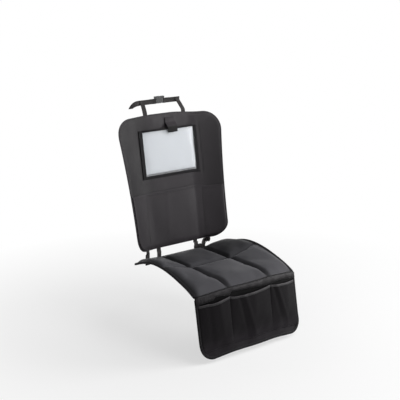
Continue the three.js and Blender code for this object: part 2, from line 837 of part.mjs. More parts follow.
// The loose end of the left strap beyond its fold: it falls forward and turns flat as it goes.
function strapTail() {
  const start = vec(-(strapTopX + strapFoldOverhang), bandY, bandCentreZ);
  const hang = (share) => {
    const turn = (Math.PI / 2) * share;
    const shift = vec(-tailLength * share, -tailForward * share ** 2, -tailFall * share ** 2);
    return { point: start.clone().add(shift), across: vec(0, Math.sin(turn), Math.cos(turn)) };
  };
  const joint = { point: start.clone().add(vec(tailJoin, 0, 0)), across: alongZ };
  return webbing([joint, ...[1, 2, 3, 4].map((k) => hang(k / 4))], 10);
}

const linkY = padRearY + linkGap;

// A strap sewn to the panel's foot at both ends, with its middle run behind the pad's rear edge.
function linkStrap(side, place) {
  const at = (x, y, z, across) => ({ point: vec(side * x, y, z), across });
  const runTop = -place.drop + webbingWidth / 2;
  const leg = (topX, footX) => {
    const sewn = (v) => {
      const p = panelPoint(topX, v, behindPanel);
      const across = panelPoint(topX + 1, v, behindPanel).sub(p);
      return at(p.x, p.y, p.z, vec(side * across.x, across.y, across.z).multiplyScalar(side));
    };
    return webbing(
      [
        sewn(strapSewnLength),
        sewn(0),
        sewn(-strapRelief),
        at((topX + footX) / 2, linkY + linkBow, (panelLift + runTop) / 2, alongX),
        at(footX, linkY, runTop - linkLap, alongX),
        at(footX, linkY, runTop - webbingWidth, alongX),
      ],
      9,
    );
  };
  const ends = [place.inner - webbingWidth / 2, place.outer + webbingWidth / 2];
  const run = webbing(
    ends.map((x) => at(x, linkY + sewnLayerStep, -place.drop, alongZ)),
    4,
  );
  return joined(leg(linkInnerX, place.inner), leg(linkOuterX, place.outer), run);
}

// The loop on the pad's rear edge that the link strap runs through.
function padLoop(side, place) {
  const x = (side * (place.inner + place.outer)) / 2;
  const runY = linkY + sewnLayerStep;
  const gap = loopClearance + webbingThickness;
  const [near, far] = [runY - gap, runY + gap];
  const [low, high] = [-place.drop, -place.drop].map(
    (z, k) => z + (k ? 1 : -1) * (webbingWidth / 2 + gap),
  );
  const h = webbingThickness / 2;
  const corners = [[near, low], [far, low], [far, high], [near, high]];
  const middle = [(near + far) / 2, (low + high) / 2];
  const stations = corners.map(([y, z]) => ({
    point: vec(x, y, z),
    out: alongX,
    up: vec(0, Math.sign(y - middle[0]), Math.sign(z - middle[1])),
  }));
  const w = loopWidth / 2;
  const ring = sweep(stations, [[-w, -h], [w, -h], [w, h], [-w, h]], true);
  const tailZ = -(bindingClearance + bindingTape + clothClearance + h);
  const tail = webbing(
    [
      { point: vec(x, near, tailZ), across: alongX },
      { point: vec(x, near - loopTail, tailZ), across: alongX },
    ],
    2,
    loopWidth,
  );
  return joined(ring, tail);
}

function addStraps() {
  add("top_strap_left", joined(topStrap(-1), strapTail()), webbingFabric);
  add("top_strap_right", topStrap(1), webbingFabric);
  add("link_strap_left", linkStrap(-1, linkLeft), webbingFabric);
  add("link_strap_right", linkStrap(1, linkRight), webbingFabric);
  add("pad_loop_left", padLoop(-1, linkLeft), webbingFabric);
  add("pad_loop_right", padLoop(1, linkRight), webbingFabric);
}

// Buckle

function roundedPlate(x0, x1, height, thickness, radius) {
  const shape = new THREE.Shape();
  const [low, high] = [-height / 2, height / 2];
  shape.moveTo(x0 + radius, low);
  shape.lineTo(x1 - radius, low);
  shape.absarc(x1 - radius, low + radius, radius, -Math.PI / 2, 0);
  shape.lineTo(x1, high - radius);
  shape.absarc(x1 - radius, high - radius, radius, 0, Math.PI / 2);
  shape.lineTo(x0 + radius, high);
  shape.absarc(x0 + radius, high - radius, radius, Math.PI / 2, Math.PI);
  shape.lineTo(x0, low + radius);
  shape.absarc(x0 + radius, low + radius, radius, Math.PI, 1.5 * Math.PI);
  const plate = new THREE.ExtrudeGeometry(shape, {
    depth: thickness,
    bevelEnabled: false,
    curveSegments: 3,
  });
  return plate.translate(0, 0, -thickness / 2).rotateX(Math.PI / 2);
}

const block = (x0, x1, y, z0, z1) =>
  new THREE.BoxGeometry(x1 - x0, y, z1 - z0).translate((x0 + x1) / 2, 0, (z0 + z1) / 2);

function addBuckle() {
  const slotHalf = webbingWidth / 2 + slotSpare;
  const slot = (side) =>
    block(
      side * slotCentreX - buckleSlotWidth / 2,
      side * slotCentreX + buckleSlotWidth / 2,
      2 * buckleThickness,
      -slotHalf,
      slotHalf,
    );
  const barRelief = (side) =>
    [-1, 1].map((face) => {
      const [near, far] = [slotCentreX, buckleHalfLength + cutThrough];
      const [x0, x1] = side > 0 ? [near, far] : [-far, -near];
      const offset = (face * (buckleBarThickness + buckleThickness)) / 2;
      return block(x0, x1, buckleThickness, -slotHalf, slotHalf).translate(0, offset, 0);
    });
  const cavityHalf = buckleHeight / 2 - buckleWall;
  const cavityStart = -slotCentreX + buckleSlotWidth;
  const windowStart = cavityStart + socketBack;
  const windowEnd = cavityStart + barbLength + barbWindowSpare;
  const socket = cut(
    roundedPlate(-buckleHalfLength, buckleJoinX, buckleHeight, buckleThickness, buckleCornerRadius),
    slot(-1),
    ...barRelief(-1),
    block(cavityStart, buckleJoinX + cutThrough, buckleCavity, -cavityHalf, cavityHalf),
    block(windowStart, windowEnd, buckleCavity, -buckleHeight, buckleHeight),
  );
  const prongThickness = buckleCavity - 2 * prongClearance;
  const prongStart = windowStart + prongClearance;
  const prongEnd = buckleJoinX + prongJoin;
  const armOuter = cavityHalf - prongClearance;
  const arm = (side) =>
    [
      [prongStart, prongEnd, armOuter - prongWidth, armOuter],
      [prongStart, prongStart + barbLength, armOuter - prongWidth, armOuter + prongWidth / 2],
    ].map(([x0, x1, near, far]) => {
      const [z0, z1] = side > 0 ? [near, far] : [-far, -near];
      return block(x0, x1, prongThickness, z0, z1);
    });
  const stem = roundedPlate(
    buckleJoinX + prongClearance,
    buckleHalfLength,
    buckleHeight,
    buckleThickness,
    buckleCornerRadius,
  );
  const tongue = block(prongStart, prongEnd, prongThickness, -prongWidth / 2, prongWidth / 2);
  const plug = cut(joined(stem, tongue, ...arm(1), ...arm(-1)), slot(1), ...barRelief(1));
  const place = (geometry) => geometry.translate(0, buckleY, bandCentreZ);
  add("buckle_socket", place(socket), bucklePlastic);
  add("buckle_plug", place(plug), bucklePlastic);
}

addSeatPad();
addPadUnderside();
addBackPanel();
addTabletWindow();
addClosureTab();
addLowerPocket();
addFrontFlap();
addFrontBand();
addFlapPockets();
addStraps();
addBuckle();

export default protector;
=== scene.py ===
"""Looks of the car seat protector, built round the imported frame. Millimetres up to mesh_object."""

import math

import bpy
import mathutils
import numpy as np
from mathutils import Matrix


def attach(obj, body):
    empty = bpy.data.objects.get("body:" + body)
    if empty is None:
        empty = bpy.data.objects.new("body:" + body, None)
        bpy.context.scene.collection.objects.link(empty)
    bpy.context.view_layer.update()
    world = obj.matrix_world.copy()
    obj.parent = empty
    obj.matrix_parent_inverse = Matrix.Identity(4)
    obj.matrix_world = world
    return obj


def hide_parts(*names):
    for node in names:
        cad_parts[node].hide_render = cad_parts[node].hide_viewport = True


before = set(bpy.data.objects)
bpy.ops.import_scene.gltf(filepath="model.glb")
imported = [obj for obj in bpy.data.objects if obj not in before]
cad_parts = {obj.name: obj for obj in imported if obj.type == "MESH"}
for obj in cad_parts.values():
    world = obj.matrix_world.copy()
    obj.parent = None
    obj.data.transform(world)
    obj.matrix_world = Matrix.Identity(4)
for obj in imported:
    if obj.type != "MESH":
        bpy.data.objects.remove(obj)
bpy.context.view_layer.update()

MM = 0.001
TAU = 2 * math.pi

# Sizes, as in the part's source
PAD_DEPTH, PAD_HALF, PAD_CORNER = 417, 240, 50
PAD_FRONT, PAD_REAR = -PAD_DEPTH / 2, PAD_DEPTH / 2
PAD_FLOOR, PAD_STITCHED, PAD_CROWN = 2, 4, 14
PAD_LAYERS = PAD_FLOOR + PAD_STITCHED
CHANNEL, CROSS_SEAM, SEAM_SWEEP = 99, 16.5, 18
DISH_HALF, BOLSTER, CREST_Y, RUN_FRONT, RUN_REAR = 90, 42, 46.5, 190, 155
FRONT_DROP, DROP_START = 12, -130
PANEL_H, PANEL_TOP, PANEL_BOTTOM, PANEL_WAIST = 522, 255, 221, 9
TOP_RADIUS, BOTTOM_RADIUS, PANEL_THICK = 80, 60, 6
RECLINE = math.radians(8.6)
FLAT_HALF, WRAP_TOP, WRAP_BOTTOM = 100, 30, 53
SETBACK, PANEL_LIFT = 8, 42
TAPE, GAP = 1, 1.1
WINDOW_HALF, WINDOW_LOW, WINDOW_TOP, SIDE_TAPE, FOOT_TAPE, HEM = 141, 275, 466, 17, 11, 8
WINDOW_INNER, WINDOW_FOOT, HEM_FOOT = WINDOW_HALF - SIDE_TAPE, WINDOW_LOW + FOOT_TAPE, WINDOW_TOP - HEM
FILM_LIFT, FILM_BULGE, SLACK_RUN = 1.8, 9, 24
SIDE_SAG, SAG_START, SAG_RUN = 11, 105, 75
DIVIDER, LOW_EDGE, LOW_FOOT, LOW_MOUTH = 138, 4, 17, 221
FLAP_DROP, FLAP_HALF, FLAP_CORNER, FLAP_THICK = 231, 242, 54, 3
FLAP_LEAN, FLAP_SWEEP, FLAP_KICK, KICK_SHARE = 0.1375, 8, 8, 0.25
BAND_H, MOUTH_DROP, POCKET_INSET, FOOT_MARGIN = 27, 31, 8.5, 26
POCKET_HALF, POCKET_FOOT = FLAP_HALF - POCKET_INSET, FLAP_DROP - FOOT_MARGIN
POCKET_EDGES = (-POCKET_HALF, -CHANNEL, CHANNEL, POCKET_HALF)
WEB_WIDTH, WEB_THICK = 20, 1.4
STRAP_X, STRAP_SEWN, STRAP_TOP_X, STRAP_RISE, STRAP_BACK, FOLD_OVER = 93, 30, 86, 60, 30, 12
LINK_IN, LINK_OUT, LINK_GAP = 92, 148, 5.5
LINKS = {-1: (98, 154, 8), 1: (88, 126, -8)}
TAIL_JOIN, TAIL_LENGTH, TAIL_FORWARD, TAIL_FALL = 3, 50, 12, 16
LOOP_WIDTH, LOOP_GAP, LOOP_TAIL, LOOP_BEND, RELIEF = 14, 0.6, 24, 1.2, 12
BUCKLE_HALF, SLOT_W, BAR_W, BAR_T = 24, 3.6, 3.5, 3.6

# Sizes of the looks alone
QUILT_COLUMNS, QUILT_ROWS = (30, 40, 30), (46, 42)
BROAD, REAR_SWELL, RIM_FLAT, SEAM_BLEND = 2.5, 3.4, 5, 60
FOLD_SHIFT, FOLD_HEIGHT = 7, 2.6
SIM_FRAMES, SIM_REACH, SIM_SHARE, PIN_REACH = 20, 5.0, 0.6, 4.5
CLOTH = {
    "quality": 5, "mass": 0.25, "tension_stiffness": 25, "compression_stiffness": 12,
    "shear_stiffness": 8, "bending_stiffness": 4, "vertex_group_mass": "pin",
    "use_pressure": True, "uniform_pressure_force": 4, "shrink_min": -0.02,
}
WIDE_SAG_RUN, LEFT_SAG = 160, 6
SIDE_LINE = 152
LOW_BULGE = (1.5, 4.5, 2)
BELLY, GAPE = (11, 13, 10), (3, 4, 2)
ROLL, ROLL_SHAPE, ROLL_TOP = 5.2, 0.55, -1.5

# Slow waves are (height, length across, length along, shift); folds are
# (height, place, drift per mm along, width)
PAD_WAVES = ((0.5, 140, 190, 0.4), (0.35, -90, 130, 2.1))
PANEL_FOLDS = ((0.5, -18, -0.1, 11), (-0.5, -20, 0, 12), (0.6, -38, 0.15, 11), (-0.5, 70, 0, 12))
LOW_FOLDS = ((0.5, -44, 0.05, 13), (0.4, 70, 0, 18))
POCKET_FOLDS = (
    (2.2, -48, 0.3, 9),
    (-1.8, -66.8, 0.22, 8),
    (2.0, 118.4, 0.34, 8),
    (-1.6, 106, 0.25, 8),
    (1.4, -154.8, 0.12, 12),
    (-1.4, -196, 0.05, 10),
    (1.0, 20, -0.1, 14),
    (1.0, 190, -0.08, 12),
)


# Small array helpers


def vec(x, y, z):
    return np.stack(np.broadcast_arrays(x, y, z), -1).astype(float)


def floats(*values):
    return (np.asarray(a, float) for a in np.broadcast_arrays(*values))


def unit(v):
    return v / np.maximum(np.linalg.norm(v, axis=-1, keepdims=True), 1e-9)


def clamp01(t):
    return np.clip(t, 0.0, 1.0)


def ease(t):
    t = clamp01(t)
    return t * t * (3 - 2 * t)


def bell(t):
    return np.exp(-(np.asarray(t, float) ** 2))


def near(distance, run):
    """0 at a line, rising like a quarter of a sine to 1 a run away from it."""
    return np.sin(np.pi / 2 * clamp01(distance / run))


def lerp(a, b, t):
    return a + (b - a) * t


def spans(breaks, cells, cosine=False):
    """Positions between breaks, each span with its own count of cells."""
    out = []
    for k, count in enumerate(cells):
        share = np.arange(count) / count
        if cosine:
            share = (share + (1 - np.cos(np.pi * share)) / 2) / 2
        out.append(lerp(breaks[k], breaks[k + 1], share))
    return np.concatenate([*out, [breaks[-1]]])


def waves(a, b, terms):
    return sum(h * np.sin(TAU * (a / la + b / lb) + s) for h, la, lb, s in terms)


def folds(x, along, terms):
    return sum(h * bell((x - place - drift * along) / w) for h, place, drift, w in terms)


def slopes(height, a, b):
    """How steep a height is along each of its two coordinates."""
    step = 0.5
    slope_a = (height(a + step, b) - height(a - step, b)) / (2 * step)
    slope_b = (height(a, b + step) - height(a, b - step)) / (2 * step)
    return slope_a, slope_b


def run_length(points):
    return np.concatenate([[0], np.cumsum(np.linalg.norm(np.diff(points, axis=0), axis=1))])


# Making objects


def add_object(name, data):
    obj = bpy.data.objects.new(name, data)
    bpy.context.scene.collection.objects.link(obj)
    return obj


def mesh_object(name, points, faces, material, replaces=None, cloth=None):
    """A closed mesh that rides on the root body. cloth holds u, v and the painted shade and light for
    its material.
    """
    points = np.asarray(points, float)
    a, b, c, d = points[np.array([f for f in faces if len(f) == 4]).T]
    if np.sum(a * np.cross(b, c)) + np.sum(a * np.cross(c, d)) < 0:
        faces = [f[::-1] for f in faces]
    mesh = bpy.data.meshes.new(name)
    mesh.from_pydata((points * MM).tolist(), [], faces)
    mesh.validate()
    mesh.polygons.foreach_set("use_smooth", [True] * len(mesh.polygons))
    if cloth is not None:
        data = mesh.attributes.new("cloth", "FLOAT_VECTOR", "POINT")
        data.data.foreach_set("vector", np.asarray(cloth, np.float32).ravel())
    mesh.materials.append(material)
    obj = add_object(name, mesh)
    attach(obj, "root")
    # Blender may add a number to a material's name
    if replaces:
        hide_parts(replaces)
    return obj


def slab_faces(rows, columns):
    """Faces of two grids of points, the second below the first, closed round the rim."""
    grid = np.arange(rows * columns).reshape(rows, columns)
    layer = rows * columns
    a, b, c, d = grid[:-1, :-1], grid[:-1, 1:], grid[1:, 1:], grid[1:, :-1]
    top = np.stack([a, b, c, d], -1).reshape(-1, 4)
    low = np.stack([a, d, c, b], -1).reshape(-1, 4) + layer
    rim = np.concatenate([grid[0, :-1], grid[:-1, -1], grid[-1, :0:-1], grid[:0:-1, 0]])
    after = np.roll(rim, -1)
    sides = np.stack([rim, rim + layer, after + layer, after], -1)
    return np.concatenate([top, low, sides]).tolist()


def slab(name, face, back, uv, material, replaces=None, crease=0):
    """A piece of cloth between two grids of points."""
    rows, columns = face.shape[:2]
    points = np.concatenate([face.reshape(-1, 3), back.reshape(-1, 3)])
    cloth = np.stack([np.broadcast_to(c, (rows, columns)).ravel() for c in (*uv, crease)], -1)
    faces = slab_faces(rows, columns)
    return mesh_object(name, points, faces, material, replaces, np.tile(cloth, (2, 1)))


def sweep(name, points, out, up, profile, ring, material, replaces=None):
    """A closed profile of (out, up) pairs carried along points."""
    points, out, up, profile = (np.asarray(a, float) for a in (points, out, up, profile))
    count, size = len(points), len(profile)
    carried = points[:, None] + out[:, None] * profile[:, :1] + up[:, None] * profile[:, 1:]
    grid = np.arange(count * size).reshape(count, size)
    here = grid if ring else grid[:-1]
    there = np.roll(grid, -1, 0) if ring else grid[1:]
    faces = np.stack([here, np.roll(here, -1, 1), np.roll(there, -1, 1), there], -1)
    faces = faces.reshape(-1, 4).tolist()
    if not ring:
        faces += [grid[0].tolist(), grid[-1, ::-1].tolist()]
    across = np.tile(profile[:, 0], count)
    cloth = np.stack([np.repeat(run_length(points), size), across, 0 * across], -1)
    mesh_object(name, carried.reshape(-1, 3), faces, material, replaces, cloth)


def stitches(name, runs, pitch=5.0, length=3.3, radius=0.42):
    """Rows of single stitches on lists of (points, normals); each end dips into the cloth."""
    stations = np.array([-1.0, -0.72, 0.0, 0.72, 1.0])
    girth = np.array([0.45, 0.95, 1.0, 0.95, 0.45])
    dip = np.array([-1.1, -0.15, 0.12, -0.15, -1.1])
    sides = 6
    turn = TAU * np.arange(sides)[:, None] / sides
    made = []
    for points, normals in runs:
        far = run_length(points)
        at = np.linspace(0, far[-1], max(2, int(round(far[-1] / (0.5 * pitch))) + 1))
        line, upright = (
            np.stack([np.interp(at, far, a[:, k]) for k in range(3)], -1) for a in (points, normals)
        )
        k = np.arange(1, len(line) - 1, 2)
        run = unit(line[k + 1] - line[k - 1])
        n = unit(upright)[k]
        n = unit(n - run * np.sum(n * run, -1, keepdims=True))
        s = np.cross(run, n)
        centre = line[k, None] + run[:, None] * (stations * length / 2)[:, None]
        centre = centre + n[:, None] * (dip * radius + 0.1)[:, None]
        circle = s[:, None, None] * np.cos(turn) + n[:, None, None] * np.sin(turn)
        made.append(centre[:, :, None] + radius * girth[:, None, None] * circle)
    points = np.concatenate(made)
    rings = np.arange(len(points) * len(stations) * sides).reshape(len(points), len(stations), sides)
    low, high = rings[:, :-1], rings[:, 1:]
    quads = np.stack([low, np.roll(low, -1, -1), np.roll(high, -1, -1), high], -1)
    caps = [*rings[:, 0, ::-1].tolist(), *rings[:, -1].tolist()]
    faces = quads.reshape(-1, 4).tolist() + caps
    mesh_object(name, points.reshape(-1, 3), faces, THREAD)


# Materials


class Shading:
    """A material's node tree. Its sums take sockets or numbers."""

    def __init__(self, name=None, tree=None):
        if name:
            self.material = bpy.data.materials.new(name)
            self.material.use_nodes = True
            tree = self.material.node_tree
            self.shader = next(n for n in tree.nodes if n.type == "BSDF_PRINCIPLED")
        self.tree = tree

    def node(self, kind, links=None, **settings):
        made = self.tree.nodes.new(kind)
        for key, value in settings.items():
            setattr(made, key, value)
        for key, value in (links or {}).items():
            self.put(made, key, value)
        return made

    def put(self, made, key, value):
        if isinstance(value, bpy.types.NodeSocket):
            self.tree.links.new(value, made.inputs[key])
        else:
            made.inputs[key].default_value = value

    def math(self, operation, a, b=0.0):
        return self.node("ShaderNodeMath", {0: a, 1: b}, operation=operation).outputs[0]

    def add(self, a, b):
        return self.math("ADD", a, b)

    def sub(self, a, b):
        return self.math("SUBTRACT", a, b)

    def mul(self, a, b):
        return self.math("MULTIPLY", a, b)

    def place(self):
        return self.node("ShaderNodeTexCoord").outputs["Object"]

    def noise(self, scale, detail, roughness=0.5):
        links = {"Vector": self.place(), "Scale": scale, "Detail": detail, "Roughness": roughness}
        return self.node("ShaderNodeTexNoise", links).outputs["Fac"]

    def ramp(self, value, low, high, start=0.0, end=1.0):
        links = {"Value": value, "From Min": low, "From Max": high, "To Min": start, "To Max": end}
        return self.node("ShaderNodeMapRange", links).outputs["Result"]

    def cloth(self):
        """u, v and the painted shade and light of the piece."""
        read = self.node("ShaderNodeAttribute", attribute_name="cloth")
        return self.node("ShaderNodeSeparateXYZ", {0: read.outputs["Vector"]}).outputs

    def seen(self):
        """1 for what the camera sees, through the film and in reflections too; 0 for light."""
        path = self.node("ShaderNodeLightPath").outputs
        straight = self.math("MAXIMUM", path["Is Camera Ray"], path["Is Transmission Ray"])
        return self.math("MAXIMUM", straight, path["Is Glossy Ray"])

    def dress(self, color, factor, rough, relief=None, **more):
        """A colour times a factor, a roughness, a bump of (height, strength, distance in m)."""
        factor = self.node("ShaderNodeCombineXYZ", {0: factor, 1: factor, 2: factor}).outputs[0]
        dyed = self.node("ShaderNodeVectorMath", {0: color, 1: factor}, operation="MULTIPLY")
        self.put(self.shader, "Base Color", dyed.outputs[0])
        self.put(self.shader, "Roughness", rough)
        if relief:
            links = dict(zip(("Height", "Strength", "Distance"), relief))
            bump = self.node("ShaderNodeBump", links).outputs["Normal"]
            self.put(self.shader, "Normal", bump)
        for key, value in more.items():
            self.put(self.shader, key.replace("_", " "), value)
        return self.material


def fabric(name, color, roughness, pitch=1.3, weave=0.1, mottle=0.1, crease=0.35, bump=0.35,
           ribs=False, specular=0.3):
    """Woven cloth: threads at the given pitch in mm, uneven dye, and painted shade, which turns to
    painted light where the mark is below 0.
    """
    s = Shading(name)
    u, v, painted_light_and_shade = s.cloth()
    wander = s.mul(s.noise(90, 2), 0.8)
    warp, weft = (s.math("SINE", s.mul(s.add(way, wander), TAU / pitch)) for way in (u, v))
    threads = warp if ribs else s.mul(warp, weft)
    fine = s.noise(420, 2)
    uneven = s.sub(s.add(s.noise(14, 3), fine), 1)
    factor = s.add(s.add(s.mul(threads, weave), s.mul(uneven, 2 * mottle)), 1)
    # Painted shade darkens the colour; below 0 it is painted light
    factor = s.mul(factor, s.sub(1, s.mul(painted_light_and_shade, crease)))
    rough = s.add(s.mul(uneven, 0.25), roughness)
    relief = (s.add(s.mul(threads, 0.5), fine), bump, 0.00025)
    return s.dress(color, factor, rough, relief, Specular_IOR_Level=specular)


def coated(name, color, roughness, crease=0.52):
    """Coated cloth with a fine pebbled grain and a soft sheen, darkened by painted shade and lightened
    by painted highlight.
    """
    s = Shading(name)
    painted_light_and_shade = s.cloth()[2]
    grain = s.node("ShaderNodeTexVoronoi", {"Vector": s.place(), "Scale": 620.0}).outputs["Distance"]
    wrinkle = s.noise(60, 5, 0.6)
    factor = s.add(1, s.mul(s.sub(s.noise(9, 3), 0.5), 0.22))
    factor = s.add(factor, s.mul(s.sub(grain, 0.4), 0.16))
    # Painted shade darkens the colour; below 0 it is painted highlight
    factor = s.mul(factor, s.sub(1, s.mul(painted_light_and_shade, crease)))
    rough = s.add(s.mul(wrinkle, 0.2), roughness - 0.1)
    relief = (s.add(s.mul(grain, -0.35), wrinkle), 0.3, 0.0005)
    gloss = {"Specular_IOR_Level": 0.08, "Sheen_Weight": 0.06, "Sheen_Roughness": 0.4}
    return s.dress(color, factor, rough, relief, **gloss)


def film():
    """Thin clear sheet with faint ripples in its gloss."""
    s = Shading("clear_film")
    haze = s.noise(160, 3)
    tone, rough = s.add(s.mul(haze, 0.06), 0.9), s.add(s.mul(haze, 0.1), 0.05)
    return s.dress((0.94, 0.97, 1.0), tone, rough, (s.noise(18, 2), 0.35, 0.002), Alpha=0.16, IOR=1.5)


def grip():
    """Rubbery backing with rows of small raised dots, 9 mm apart."""
    s = Shading("grip_backing")
    across, down = (s.math("SINE", s.mul(way, TAU / 9)) for way in s.cloth()[:2])
    raised = s.ramp(s.mul(across, down), 0.45, 0.7)
    mottle = s.noise(200, 4)
    factor = s.sub(s.add(0.8, s.mul(mottle, 0.4)), s.mul(raised, 0.45))
    relief = (s.add(raised, s.mul(mottle, 0.2)), 0.8, 0.0008)
    return s.dress((0.034, 0.034, 0.037), factor, s.sub(0.9, s.mul(raised, 0.35)), relief)


def moulded(name, color):
    """Moulded plastic with a fine spark-eroded texture and edges worn lighter."""
    s = Shading(name)
    spark = s.noise(1500, 2)
    worn = s.ramp(s.node("ShaderNodeNewGeometry").outputs["Pointiness"], 0.52, 0.6, 0, 0.6)
    factor = s.add(s.add(0.85, s.mul(s.noise(70, 3), 0.3)), worn)
    return s.dress(color, factor, s.add(s.mul(spark, 0.2), 0.32), (spark, 0.25, 0.0001))


def tape_cloth(name, color, roughness, **more):
    return fabric(name, color, roughness, pitch=0.9, weave=0.15, ribs=True, **more)


PANEL = fabric("panel_fabric", (0.0235, 0.0205, 0.0235), 0.5, crease=0.7, specular=0.16)
QUILT = coated("quilt_fabric", (0.060, 0.059, 0.065), 0.5)
FLAP = fabric("flap_fabric", (0.0042, 0.0034, 0.0043), 0.56, pitch=1.1, specular=0.08)
BAND = fabric("band_fabric", (0.019, 0.0175, 0.019), 0.5, pitch=1.1, crease=0.75, specular=0.12)
TAB = fabric("closure_fabric", (0.028, 0.0245, 0.028), 0.5, crease=0.95, specular=0.12)
BINDING = tape_cloth("binding_tape", (0.008, 0.0075, 0.0085), 0.6, specular=0.08)
HEM_TAPE = tape_cloth("pocket_mouth_tape", (0.03, 0.026, 0.03), 0.5, crease=0.75)
EDGE = tape_cloth("panel_binding_tape", (0.026, 0.023, 0.0265), 0.5, specular=0.13)
WEBBING = fabric(
    "webbing", (0.018, 0.016, 0.016), 0.6, pitch=1.6, weave=0.3, bump=0.7, ribs=True, specular=0.2
)
LINING = fabric("pocket_lining", (0.56, 0.58, 0.61), 0.8, pitch=0.8, weave=0.04, mottle=0.04)
HOOK = fabric("hook_tape", (0.008, 0.008, 0.009), 0.9, pitch=0.7, weave=0.4, bump=1.0, specular=0.1)
THREAD = fabric("sewing_thread", (0.02, 0.018, 0.021), 0.55, pitch=0.5, weave=0.2)
FILM = film()
GRIP = grip()
PLASTIC = moulded("buckle_plastic", (0.014, 0.014, 0.015))


# Edges


def edge_frames(points, normals, ring):
    """The way out of the cloth at each point of its rim."""
    if ring:
        run = np.roll(points, -1, 0) - np.roll(points, 1, 0)
    else:
        run = np.gradient(points, axis=0)
    return unit(np.cross(run, normals))


def surface_normals(point, a, b):
    step = 0.5
    along_a = point(a + step, b) - point(a - step, b)
    along_b = point(a, b + step) - point(a, b - step)
    return unit(np.cross(along_a, along_b))


def binding_profile(thickness, lip):
    """Tape folded round an edge: two lips with a rounded fold between them."""
    inner = thickness / 2
    outer = inner + TAPE
    turn = np.linspace(np.pi / 2, -np.pi / 2, 9)
    upper = [(-lip, outer - 0.15), (-lip + 0.5, outer), (-0.5 * lip, outer + 0.12)]
    fold = [(GAP + 0.6 * math.cos(a) * outer, math.sin(a) * outer) for a in turn]
    lower = [(out, -up) for out, up in reversed(upper)]
    return [*upper, *fold, *lower, (-lip, -inner), (0.2, -inner), (0.2, inner), (-lip, inner)]


def bind(name, rim, normals, profile, insets, lift, ring, material, replaces):
    """Binding tape along a rim, with a row of stitches on each of its two faces."""
    out = edge_frames(rim, normals, ring)
    sweep(f"{name}_binding", rim, out, normals, profile, ring, material, replaces)
    runs = []
    for side, inset in zip((1, -1), insets):
        line, upright = rim - out * inset + normals * (side * lift), side * normals
        if ring:
            line, upright = (np.concatenate([a, a[:1]]) for a in (line, upright))
        runs.append((line, upright))
    stitches(f"{name}_stitches", runs)


# Seat pad


def cushion_height(x, y):
    past = np.maximum(0, DROP_START - y) / (DROP_START - PAD_FRONT)
    run = np.where(y < CREST_Y, RUN_FRONT, RUN_REAR)
    crest = BOLSTER * np.cos(np.pi / 2 * (y - CREST_Y) / run)
    aside = np.maximum(0, np.abs(x) - DISH_HALF) / (PAD_HALF - DISH_HALF)
    return crest * aside**1.5 - FRONT_DROP * past**2


def front_seam(x):
    return PAD_FRONT + SEAM_SWEEP * (x / PAD_HALF) ** 2


def cushion_normal(x, y):
    slope_x, slope_y = slopes(cushion_height, x, y)
    along = clamp01((y - front_seam(x)) / SEAM_BLEND)
    return unit(vec(-slope_x, -slope_y * along, 1))


def cushion_point(x, y, lift):
    return vec(x, y, cushion_height(x, y)) + cushion_normal(x, y) * np.asarray(lift)[..., None]


def pad_half(y):
    into = np.maximum(0, y - (PAD_REAR - PAD_CORNER))
    return PAD_HALF - PAD_CORNER + np.sqrt(np.maximum(PAD_CORNER**2 - into**2, 0))


def from_pad_edge(x, y):
    aside = np.abs(x) - (PAD_HALF - PAD_CORNER)
    behind = y - (PAD_REAR - PAD_CORNER)
    both = (aside > 0) & (behind > 0)
    return PAD_CORNER - np.where(both, np.hypot(aside, behind), np.maximum(aside, behind))


def pad_grid():
    """Places of the pad's grid in plan: three quilts across, two along."""
    column, row = np.meshgrid(
        spans([-1, 0, 1, 2], QUILT_COLUMNS, cosine=True), spans([0, 1, 2], QUILT_ROWS, cosine=True)
    )
    front = lerp(front_seam(0), CROSS_SEAM, row)
    middle = np.where(row < 1, front, lerp(CROSS_SEAM, PAD_REAR, row - 1))
    half = pad_half(middle)
    left, right = lerp(-half, -CHANNEL, column + 1), lerp(CHANNEL, half, column - 1)
    x = np.where(column < 1, lerp(-CHANNEL, CHANNEL, column), right)
    x = np.where(column < 0, left, x)
    return x, np.where(row < 1, lerp(front_seam(x), CROSS_SEAM, row), middle)


def quilt_shape(x, y):
    """How far the stuffed quilts stand over their sewn lines: steep sides, then a broad crown."""
    to_channel = np.minimum(np.abs(x - CHANNEL), np.abs(x + CHANNEL))
    to_cross, to_front = np.abs(y - CROSS_SEAM), y - front_seam(x)
    to_edge = from_pad_edge(x, y) - RIM_FLAT
    front = 0.22 + 0.78 * near(to_front, 46)
    rise = near(to_channel, 20) * near(to_cross, 20) * front * near(to_edge, 30)
    broad = near(to_channel, 99) * near(to_cross, 90) * near(to_front, 90) * near(to_edge, 80)
    tall = REAR_SWELL * ease((x - CHANNEL - 6) / 50) * ease((y - CROSS_SEAM - 20) / 70)
    return (PAD_CROWN - BROAD + tall) * rise + BROAD * broad


def painted_pad_shading(x, y):
    """Painted shade and highlight on the pad: shade of 1 in the sewn valleys, behind the cross seam
    and round the rim, more painted shade on the rear quilts, in the backrest's shade, and a painted
    highlight, below 0, on the fold before the cross seam."""
    inside, behind = from_pad_edge(x, y), y - CROSS_SEAM
    # Painted shade in the channels, behind the cross seam and round the rim, heavier on the left
    valley_shade = np.max([bell(((x - place - 4) / 13) ** 2) for place in (-CHANNEL, CHANNEL)], axis=0)
    ditch_shade = 0.8 * bell((behind - 3) / 9) * ease((behind + 4) / 4)
    rim = np.where(x < 0, 1.5, 0.8) * bell((inside - 8) / 12)
    # Painted highlight along the fold before the cross seam
    fold_highlight = bell((behind + FOLD_SHIFT) / 3) * ease((inside - 14) / 20) * (1 - valley_shade)
    # Painted shade on the rear quilts, heavier towards the right
    shaded = 0.4 * ease((x + CHANNEL) / 30) + 0.4 * ease((x - CHANNEL) / 30)
    rear = 0.35 * ease(behind / 60) + shaded * ease(behind / 22)
    return np.minimum(np.max([valley_shade, ditch_shade, rim], axis=0) + rear, 1.5) - 2.3 * fold_highlight


